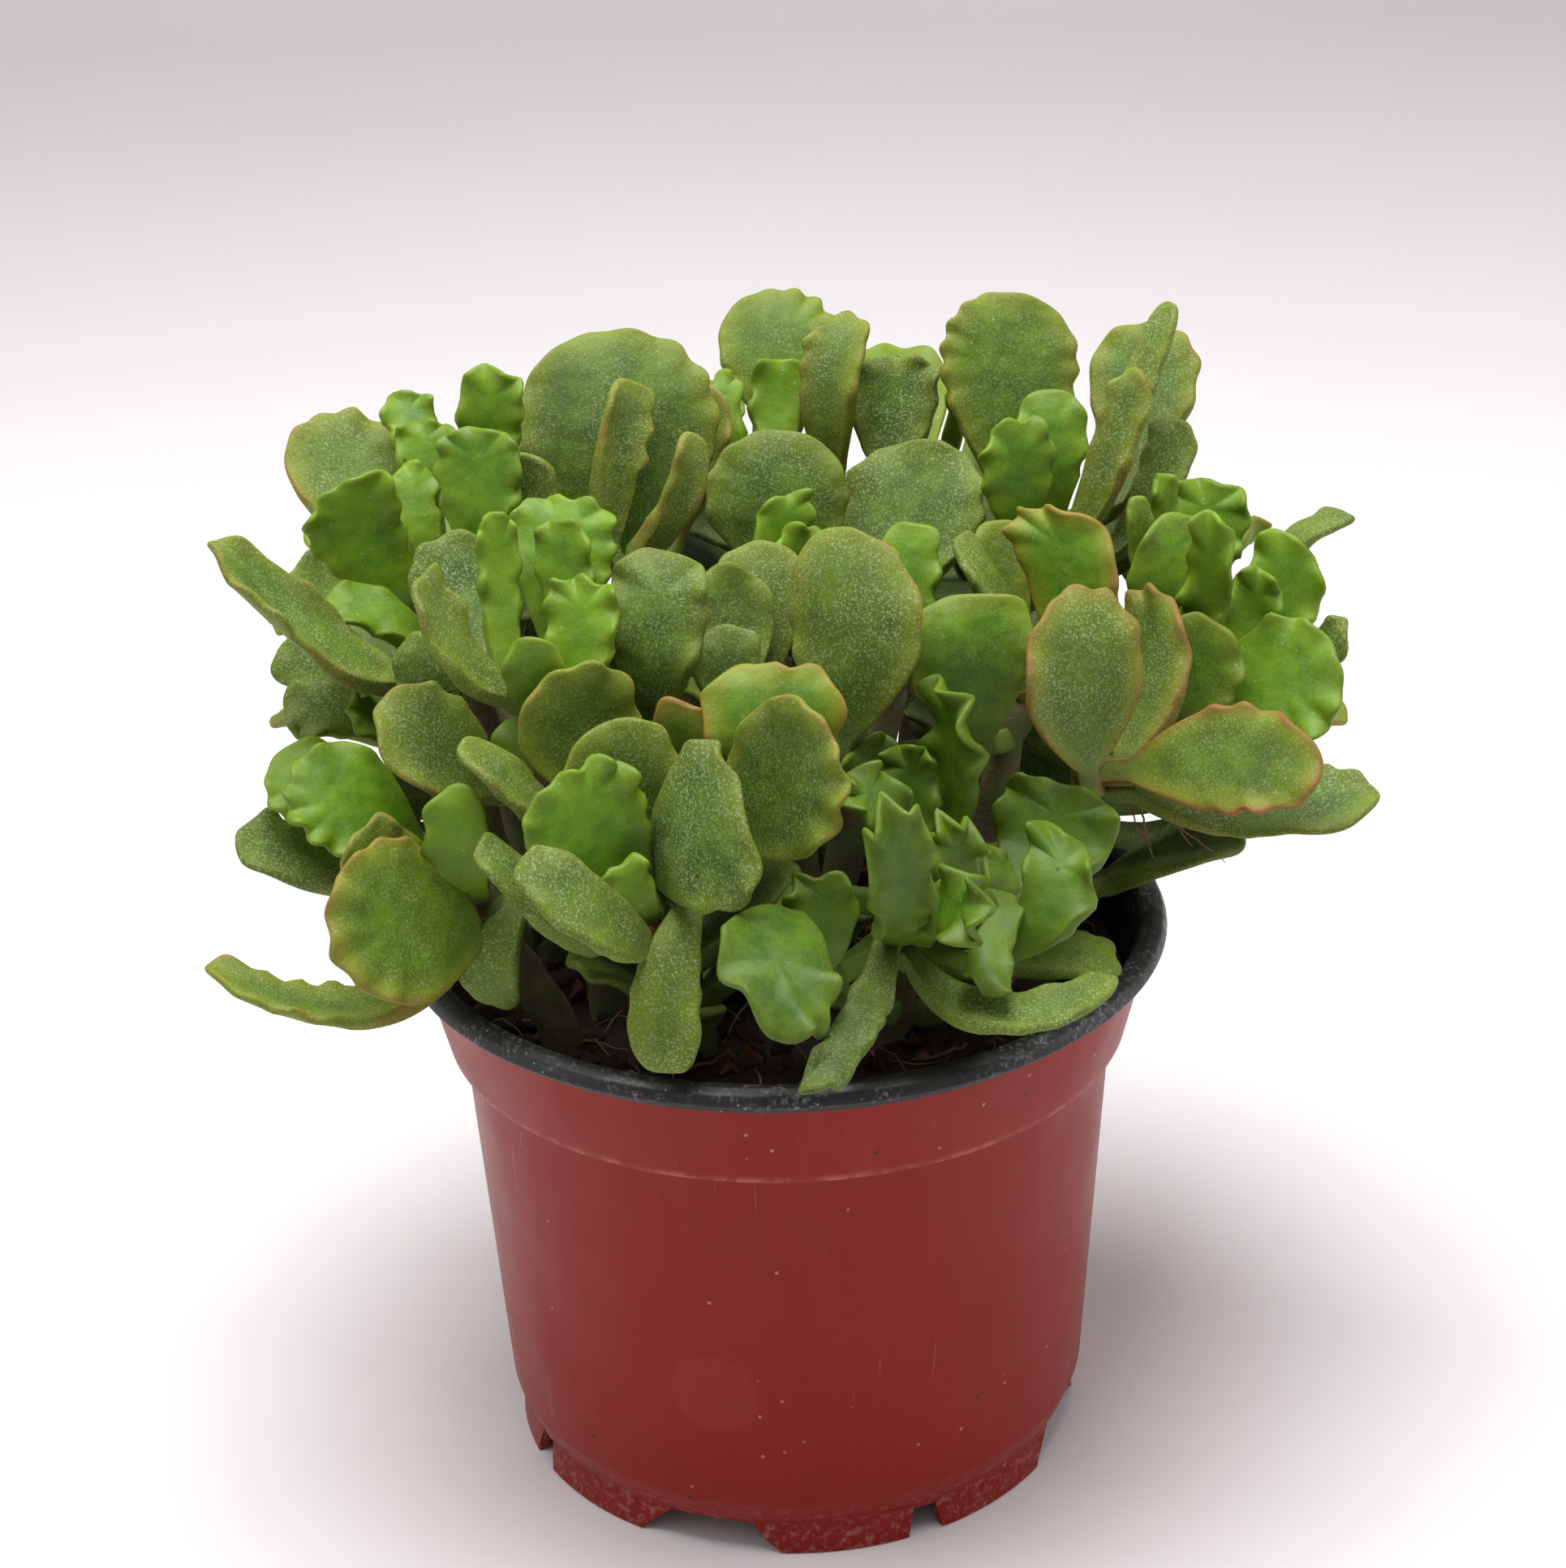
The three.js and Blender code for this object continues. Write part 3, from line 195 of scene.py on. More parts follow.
def foot_cutter(at, half, top_half, height):
    """A wedge that cuts a gap in the foot, wider at the floor than at its top."""
    points = []
    for radius in FOOT_CUT:
        for turn, z in ((-half, -1), (half, -1), (top_half, height), (-top_half, height)):
            angle = math.radians(at + turn)
            points.append((radius * math.cos(angle), radius * math.sin(angle), z))
    faces = [(3, 2, 1, 0), (4, 5, 6, 7)]
    faces += [(i, (i + 1) % 4, 4 + (i + 1) % 4, 4 + i) for i in range(4)]
    return mesh_piece("foot_cutter", points, faces)


def drain_cutter(x, y):
    deselect()
    bpy.ops.mesh.primitive_cylinder_add(
        vertices=24,
        radius=DRAIN_RADIUS * MM,
        depth=6 * MM,
        location=place((x, y, FLOOR_TOP - 0.8)),
    )
    return bpy.context.object


def cut(piece, cutters):
    for cutter in cutters:
        take(cutter)
        bpy.ops.object.mode_set(mode="EDIT")
        bpy.ops.mesh.select_all(action="SELECT")
        bpy.ops.mesh.normals_make_consistent(inside=False)
        bpy.ops.object.mode_set(mode="OBJECT")
        boolean = piece.modifiers.new("cut", "BOOLEAN")
        boolean.operation = "DIFFERENCE"
        boolean.object = cutter
        apply_modifiers(piece)
        bpy.data.objects.remove(cutter)


def new_material(name):
    material = bpy.data.materials.new(name)
    material.use_nodes = True
    tree = material.node_tree
    shader = tree.nodes["Principled BSDF"]
    return material, tree, shader


def node(tree, kind, inputs=None, **settings):
    """A shader node with its settings, and its inputs given as values or as sockets."""
    made = tree.nodes.new(kind)
    for name, value in settings.items():
        setattr(made, name, value)
    for name, value in (inputs or {}).items():
        socket = made.inputs[name]
        if isinstance(value, bpy.types.NodeSocket):
            tree.links.new(value, socket)
        else:
            socket.default_value = value
    return made


def maths(tree, operation, first, second=0.0, clamp=False):
    made = node(tree, "ShaderNodeMath", {0: first, 1: second}, operation=operation, use_clamp=clamp)
    return made.outputs[0]


def times(tree, first, second):
    """The product of two values."""
    return maths(tree, "MULTIPLY", first, second)


def ramp(tree, value, low, high, to_low=0.0, to_high=1.0):
    """Smooth step of a value from one range to another."""
    made = node(
        tree,
        "ShaderNodeMapRange",
        {"Value": value, "From Min": low, "From Max": high, "To Min": to_low, "To Max": to_high},
        interpolation_type="SMOOTHSTEP",
    )
    return made.outputs[0]


def blend(tree, share, first, second):
    made = node(tree, "ShaderNodeMix", data_type="RGBA", blend_type="MIX")
    for socket, value in ((made.inputs[0], share), (made.inputs[6], first), (made.inputs[7], second)):
        if isinstance(value, bpy.types.NodeSocket):
            tree.links.new(value, socket)
        else:
            socket.default_value = value
    return made.outputs[2]


def coat(tree, tone, colour, where, strength):
    """A colour over a tone, where a mask says and at a strength."""
    return blend(tree, times(tree, where, strength), tone, colour)


def noise(tree, scale, detail=2.0, roughness=0.5, stretch=None, distortion=0.0):
    """Noise on Object coordinates. Scale is in cycles per metre, stretch squeezes its axes."""
    place_node = node(tree, "ShaderNodeTexCoord")
    vector = place_node.outputs["Object"]
    if stretch:
        vector = node(tree, "ShaderNodeMapping", {"Vector": vector, "Scale": stretch}).outputs[0]
    inputs = {"Vector": vector, "Scale": scale, "Detail": detail, "Roughness": roughness}
    made = node(tree, "ShaderNodeTexNoise", {**inputs, "Distortion": distortion})
    return made.outputs["Fac"]


def specks(tree, scale, size):
    """Small dots at random places, 1 inside a dot. Scale is in dots per metre."""
    place_node = node(tree, "ShaderNodeTexCoord")
    made = node(
        tree,
        "ShaderNodeTexVoronoi",
        {"Vector": place_node.outputs["Object"], "Scale": scale, "Randomness": 1.0},
    )
    keep = node(tree, "ShaderNodeSeparateColor", {"Color": made.outputs["Color"]})
    rare = maths(tree, "LESS_THAN", keep.outputs[0], 0.25)
    return times(tree, ramp(tree, made.outputs["Distance"], size, size * 0.6), rare)


def paint(red, green, blue):
    """Linear colour from 8-bit display values."""
    linear = []
    for value in (red, green, blue):
        share = value / 255
        linear.append(share / 12.92 if share <= 0.04045 else ((share + 0.055) / 1.055) ** 2.4)
    return (*linear, 1.0)


def height(tree):
    """Height above the floor in millimetres."""
    place_node = node(tree, "ShaderNodeTexCoord")
    split = node(tree, "ShaderNodeSeparateXYZ", {"Vector": place_node.outputs["Object"]})
    return times(tree, split.outputs["Z"], 1000)


def near(tree, point, radius, soft):
    """1 within a radius of a point (both in millimetres from the pot's axis), 0 outside."""
    place_node = node(tree, "ShaderNodeTexCoord")
    gap = node(
        tree,
        "ShaderNodeVectorMath",
        {0: place_node.outputs["Object"], 1: tuple(place(point))},
        operation="DISTANCE",
    )
    return ramp(tree, gap.outputs["Value"], (radius + soft) * MM, radius * MM)


def surface(tree, shader, tone, roughness):
    """A shader's colour and its roughness, which is a number or a socket."""
    tree.links.new(tone, shader.inputs["Base Color"])
    if isinstance(roughness, bpy.types.NodeSocket):
        tree.links.new(roughness, shader.inputs["Roughness"])
    else:
        shader.inputs["Roughness"].default_value = roughness


def bump(tree, shader, value, depth, over=None):
    made = node(tree, "ShaderNodeBump", {"Height": value, "Distance": depth * MM, "Strength": 1.0})
    if over:
        tree.links.new(over, made.inputs["Normal"])
    tree.links.new(made.outputs[0], shader.inputs["Normal"])
    return made.outputs[0]


def red_sheet():
    """Brick-red outer face: semi-matt, with faint upright flow marks, scuffs low down and specks."""
    material, tree, shader = new_material("red_sheet")
    tone = blend(tree, noise(tree, 45, 3.0), RED_DEEP, RED_LIGHT)
    streaks = ramp(tree, noise(tree, 260, 3.0, stretch=(1, 1, 0.06)), 0.5, 0.75)
    tone = coat(tree, tone, FLOW_MARK, streaks, 0.05)
    # The cooling mark of the mould, a pale disc low on the front
    mark = near(tree, MOULD_MARK, MOULD_MARK_RADIUS, MOULD_MARK_SOFT)
    tone = coat(tree, tone, MOULD_PALE, mark, 0.07)
    # Rubbed white along the foot and on the ledge
    rough = ramp(tree, noise(tree, 900, 5.0, 0.7), 0.48, 0.66)
    low = ramp(tree, height(tree), 11.0, 1.0)
    foot_rub = times(tree, times(tree, rough, low), 0.25)
    tone = blend(tree, foot_rub, tone, FOOT_RUB)
    under = ramp(tree, height(tree), COLLAR_FOOT - 1.2, COLLAR_FOOT - 0.2)
    ledge = times(tree, under, ramp(tree, height(tree), COLLAR_FOOT + 1.4, COLLAR_FOOT + 0.2))
    ledge = times(tree, ledge, ramp(tree, noise(tree, 420, 3.0), 0.42, 0.6, 0.1, 0.5))
    tone = blend(tree, ledge, tone, LEDGE_RUB)
    # Long thin scratches, pale grit and dark soil specks
    scratches = ramp(tree, noise(tree, 700, 2.0, 0.4, stretch=(1.0, 1.0, 0.04), distortion=0.8), 0.72, 0.76)
    tone = coat(tree, tone, SCRATCH, scratches, 0.14)
    tone = coat(tree, tone, PALE_GRIT, specks(tree, 330, 0.11), 0.55)
    tone = coat(tree, tone, DARK_GRIT, specks(tree, 150, 0.07), 0.8)
    gloss = ramp(tree, noise(tree, 60, 3.0), 0.3, 0.7, 0.36, 0.46)
    surface(tree, shader, tone, maths(tree, "ADD", gloss, times(tree, foot_rub, 0.5)))
    shader.inputs["Specular IOR Level"].default_value = 0.2
    waves = noise(tree, 70, 2.0)
    first = bump(tree, shader, waves, 0.35)
    bump(tree, shader, noise(tree, 3500, 2.0), 0.012, over=first)
    return material


def black_sheet():
    """Black inner face and rim, rubbed and dusted white where hands and soil touch it."""
    material, tree, shader = new_material("black_sheet")
    tone = blend(tree, noise(tree, 300, 4.0), BLACK_DEEP, BLACK_LIGHT)
    rubbed = ramp(tree, noise(tree, 1300, 6.0, 0.75), 0.50, 0.68)
    patches = ramp(tree, noise(tree, 120, 3.0), 0.40, 0.62)
    rim = ramp(tree, height(tree), LIP_TOP - 6, LIP_TOP - 2)
    dust = times(tree, times(tree, rubbed, patches), rim)
    tone = coat(tree, tone, RIM_DUST, dust, 0.45)
    tone = coat(tree, tone, DUST_SPECK, specks(tree, 900, 0.16), 0.5)
    gloss = ramp(tree, noise(tree, 500, 3.0), 0.3, 0.7, 0.34, 0.5)
    surface(tree, shader, tone, maths(tree, "ADD", gloss, times(tree, dust, 0.4)))
    first = bump(tree, shader, noise(tree, 180, 3.0), 0.18)
    bump(tree, shader, noise(tree, 2600, 3.0), 0.02, over=first)
    return material


RED_DEEP = paint(126, 20, 5)
RED_LIGHT = paint(138, 26, 8)
FLOW_MARK = paint(170, 80, 66)
MOULD_PALE = paint(190, 104, 84)
FOOT_RUB = paint(214, 176, 166)
LEDGE_RUB = paint(196, 120, 104)
SCRATCH = paint(200, 132, 118)
PALE_GRIT = paint(205, 150, 138)
DARK_GRIT = paint(52, 24, 20)
BLACK_DEEP = paint(18, 17, 17)
BLACK_LIGHT = paint(32, 31, 31)
RIM_DUST = paint(186, 184, 182)
DUST_SPECK = paint(190, 188, 184)
MOULD_MARK = (-11.5, -42.0, 27.0)
MOULD_MARK_RADIUS = 5.5
MOULD_MARK_SOFT = 1.5
pot = turned("pot_sheet", POT_OUTLINE, POT_SIDES)
cutters = []
for quarter in range(4):
    gap_at = WIDE_GAP_AT + 90 * quarter
    cutters.append(foot_cutter(gap_at, WIDE_GAP_HALF, WIDE_GAP_TOP_HALF, FOOT_HEIGHT - 0.4))
    cutters.append(foot_cutter(NOTCH_AT + 90 * quarter, NOTCH_HALF, NOTCH_TOP_HALF, NOTCH_DEPTH))
    gap_turn = math.radians(gap_at)
    cutters.append(drain_cutter(DRAIN_RING * math.cos(gap_turn), DRAIN_RING * math.sin(gap_turn)))
cutters.append(drain_cutter(0, 0))
cut(pot, cutters)
pot.data.materials.clear()
pot.data.materials.append(red_sheet())
pot.data.materials.append(black_sheet())
for face in pot.data.polygons:
    spot = (face.center - AXIS) / MM
    radius = spot.xy.length
    wall = np.interp(spot.z, WALL_HEIGHTS, WALL_RADII)
    inside = spot.z > FLOOR_TOP - 0.5 and radius < wall - 0.6 * SHEET
    face.material_index = 1 if inside or spot.z > LIP_TOP - LIP_BAND else 0
take(pot)
bpy.ops.object.shade_smooth_by_angle(angle=SHARP_TURN)
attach(pot, "root")
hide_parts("pot")

# Soil
# Dark peat pressed into the pot to a finger's breadth under the rim, with crumbs, bark and dry
# fibres on top. It fills the pot and carries the stems.
SOIL_TOP = 69.0
SOIL_FOOT = 6.8
SOIL_GAP = 0.35
SOIL_SIDES = 120
SOIL_RINGS = 42
BRIM = COLLAR_FOOT_RADIUS - SHEET - SOIL_GAP + 0.9
CRUMBS = 620
FIBRES = 150
CHIPS = 46
rng = np.random.default_rng(7674)


def ease(x):
    x = np.clip(x, 0, 1)
    return x * x * (3 - 2 * x)


def ground(x, y):
    """Height of the soil's top, with hollows of a few millimetres and fine crumbs."""
    share = np.hypot(x, y) / BRIM
    broad = 0.6 * np.sin(0.21 * x + 1.3) * np.cos(0.17 * y - 0.4) + 0.4 * np.sin(0.43 * x - 0.31 * y)
    fine = 0.35 * np.sin(1.7 * x + 2.1 * np.sin(0.9 * y)) * np.sin(1.4 * y + 1.6 * np.sin(1.1 * x))
    fine += 0.22 * np.sin(4.1 * x + 1.3 * y) * np.sin(3.6 * y - 1.9 * x)
    calm_broad = np.minimum(1, 3 * (1 - share) + 0.3)
    calm_fine = np.minimum(1, 6 * (1 - share) + 0.2)
    return SOIL_TOP + broad * calm_broad + fine * calm_fine


def lump(seed):
    """A crumb: a ball of radius 1 with each corner moved."""
    draw = np.random.default_rng(seed)
    deselect()
    bpy.ops.mesh.primitive_ico_sphere_add(subdivisions=1, radius=1)
    ball = bpy.context.object
    points = np.array([v.co for v in ball.data.vertices])
    points *= draw.uniform(0.65, 1.25, (len(points), 1))
    faces = [list(f.vertices) for f in ball.data.polygons]
    bpy.data.objects.remove(ball)
    return points, faces


def tube(path, radii, sides):
    """Points and faces of a closed round tube along a path."""
    path = np.asarray(path, float)
    steps = np.gradient(path, axis=0)
    steps /= np.linalg.norm(steps, axis=1)[:, None]
    helper = np.array([0.31, 0.9, 0.2])
    x = np.cross(steps, helper)
    x /= np.linalg.norm(x, axis=1)[:, None]
    y = np.cross(steps, x)
    turn = np.linspace(0, 2 * np.pi, sides, endpoint=False)
    radii = np.asarray(radii, float)
    if radii.ndim == 1:
        radii = np.repeat(radii[:, None], sides, axis=1)
    points = path[:, None] + radii[..., None] * (
        np.cos(turn)[None, :, None] * x[:, None] + np.sin(turn)[None, :, None] * y[:, None]
    )
    faces = []
    for r in range(len(path) - 1):
        for i in range(sides):
            j = (i + 1) % sides
            faces.append([r * sides + i, r * sides + j, (r + 1) * sides + j, (r + 1) * sides + i])
    faces.append(list(range(sides))[::-1])
    faces.append([(len(path) - 1) * sides + i for i in range(sides)])
    return points.reshape(-1, 3), faces


class Heap:
    """Gathers many small bodies into one mesh, each with its material's number."""

    def __init__(self):
        self.points, self.faces, self.kinds, self.count = [], [], [], 0

    def add(self, points, faces, kind):
        self.points.append(points)
        self.faces += [[i + self.count for i in face] for face in faces]
        self.kinds += [kind] * len(faces)
        self.count += len(points)

    def piece(self, name):
        made = mesh_piece(name, np.concatenate(self.points), self.faces)
        made.data.polygons.foreach_set("material_index", self.kinds)
        return made


def peat():
    material, tree, shader = new_material("peat")
    tone = blend(tree, noise(tree, 900, 5.0, 0.7), PEAT_DEEP, PEAT_LIGHT)
    warm = ramp(tree, noise(tree, 260, 3.0), 0.5, 0.7, 0.0, 0.5)
    tone = blend(tree, warm, tone, PEAT_WARM)
    tone = coat(tree, tone, PEAT_SPECK, specks(tree, 900, 0.15), 0.5)
    surface(tree, shader, tone, 0.95)
    first = bump(tree, shader, noise(tree, 700, 5.0, 0.7), 0.7)
    bump(tree, shader, noise(tree, 3200, 3.0), 0.1, over=first)
    return material


def dry_fibre():
    material, tree, shader = new_material("dry_fibre")
    tone = blend(tree, noise(tree, 200, 3.0), FIBRE_DEEP, FIBRE_LIGHT)
    surface(tree, shader, tone, 0.8)
    bump(tree, shader, noise(tree, 5000, 2.0), 0.02)
    return material


def bark():
    material, tree, shader = new_material("bark")
    tone = blend(tree, noise(tree, 700, 4.0), BARK_DEEP, BARK_LIGHT)
    surface(tree, shader, tone, 0.85)
    bump(tree, shader, noise(tree, 1800, 4.0, 0.7, stretch=(1, 0.3, 1)), 0.2)
    return material


SOIL_TURN = math.radians(50)
CRUMB_SIZE = (0.35, 1.5)
CHIP_LENGTH = (2.5, 6.5)
CHIP_GIRTH = (0.5, 1.0)
FIBRE_LENGTH = (5, 17)
FIBRE_GIRTH = (0.09, 0.26)
PEAT_DEEP = paint(20, 14, 11)
PEAT_LIGHT = paint(62, 43, 31)
PEAT_WARM = paint(66, 38, 24)
PEAT_SPECK = paint(150, 132, 108)
FIBRE_DEEP = paint(96, 66, 44)
FIBRE_LIGHT = paint(158, 124, 90)
BARK_DEEP = paint(70, 38, 24)
BARK_LIGHT = paint(128, 74, 46)
SOIL_WALL = [
    (BASE_RADIUS - SHEET - SOIL_GAP, SOIL_FOOT),
    (BODY_FOOT_RADIUS - SHEET - SOIL_GAP, BODY_FOOT + 0.9),
    (BODY_TOP_RADIUS - SHEET - SOIL_GAP, COLLAR_FOOT - 0.2),
    (COLLAR_FOOT_RADIUS - SHEET - SOIL_GAP - 0.3, COLLAR_FOOT + 1.6),
]
turn = np.linspace(0, 2 * np.pi, SOIL_SIDES, endpoint=False)
rows = [np.column_stack([r * np.cos(turn), r * np.sin(turn), np.full_like(turn, z)]) for r, z in SOIL_WALL]
for share in np.linspace(1, 1 / SOIL_RINGS, SOIL_RINGS):
    x = BRIM * share * np.cos(turn)
    y = BRIM * share * np.sin(turn)
    rows.append(np.column_stack([x, y, ground(x, y)]))
points = np.concatenate(rows + [[[0, 0, SOIL_FOOT], [0, 0, float(ground(np.array(0.0), np.array(0.0)))]]])
faces = []
for k in range(len(rows) - 1):
    for i in range(SOIL_SIDES):
        j = (i + 1) % SOIL_SIDES
        low, high = k * SOIL_SIDES, (k + 1) * SOIL_SIDES
        faces.append([low + i, low + j, high + j, high + i])
last = (len(rows) - 1) * SOIL_SIDES
for i in range(SOIL_SIDES):
    j = (i + 1) % SOIL_SIDES
    faces += [[len(points) - 2, j, i], [last + i, last + j, len(points) - 1]]
heap = Heap()
heap.add(points, faces, 0)
lumps = [lump(seed) for seed in range(8)]
for _ in range(CRUMBS):
    radius = (BRIM - 2.5) * math.sqrt(rng.uniform(0, 1))
    angle = rng.uniform(0, 2 * np.pi)
    x, y = radius * math.cos(angle), radius * math.sin(angle)
    size = rng.uniform(*CRUMB_SIZE) ** 1.2
    shape, shape_faces = lumps[rng.integers(len(lumps))]
    spot = np.array([x, y, float(ground(np.array(x), np.array(y))) + 0.25 * size])
    heap.add(shape * size * rng.uniform(0.7, 1.3, 3) + spot, shape_faces, 0)
for index in range(FIBRES + CHIPS):
    radius = (BRIM - 7) * math.sqrt(rng.uniform(0, 1))
    angle = rng.uniform(0, 2 * np.pi)
    start = np.array([radius * math.cos(angle), radius * math.sin(angle)])
    chip = index >= FIBRES
    length = rng.uniform(*(CHIP_LENGTH if chip else FIBRE_LENGTH))
    heading = rng.uniform(0, 2 * np.pi)
    bending = 0.0 if chip else rng.uniform(-1.6, 1.6)
    share = np.linspace(0, 1, 3 if chip else 7)
    way = heading + bending * share
    flat = start + np.cumsum(np.column_stack([np.cos(way), np.sin(way)]) * length / len(share), axis=0)
    flat *= np.minimum(1, (BRIM - 2) / np.maximum(np.hypot(flat[:, 0], flat[:, 1]), 1e-6))[:, None]
    hump = np.sin(share * np.pi) * rng.uniform(0.2, 2.2)
    tall = ground(flat[:, 0], flat[:, 1]) + 0.3 + hump
    girth = rng.uniform(*(CHIP_GIRTH if chip else FIBRE_GIRTH))
    body, body_faces = tube(np.column_stack([flat, tall]), girth * (1 - 0.5 * np.abs(2 * share - 1)), 5)
    heap.add(body, body_faces, 2 if chip else 1)
soil = heap.piece("peat_fill")
for made in (peat(), dry_fibre(), bark()):
    soil.data.materials.append(made)
take(soil)
bpy.ops.object.shade_smooth_by_angle(angle=SOIL_TURN)
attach(soil, "root")
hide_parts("soil")

# Leafy shoots
# Fleshy leaves on short round stalks, in loose rosettes on upright stems. Old leaves are grey with
# scurf, young ones smooth and bright, and the edge of each is crimped. One piece for each shoot.
STEM_RADIUS = 3.0
HOLE_DEPTH = 18.0
BARE_STEM = 3
STALK = 1.8
STALK_THICK = 3.0
LEAF_GAP = 3.2
LEAN = 0.3
BOWL = 0.3
GRID_STEP = 0.62
EYE = np.array([0.4, -417.4, 291.1])
KINDS = {"spoon": (2.2, 1.25, None), "oval": (2.1, 0.95, 0.56), "fan": (2.6, 1.0, 0.76)}

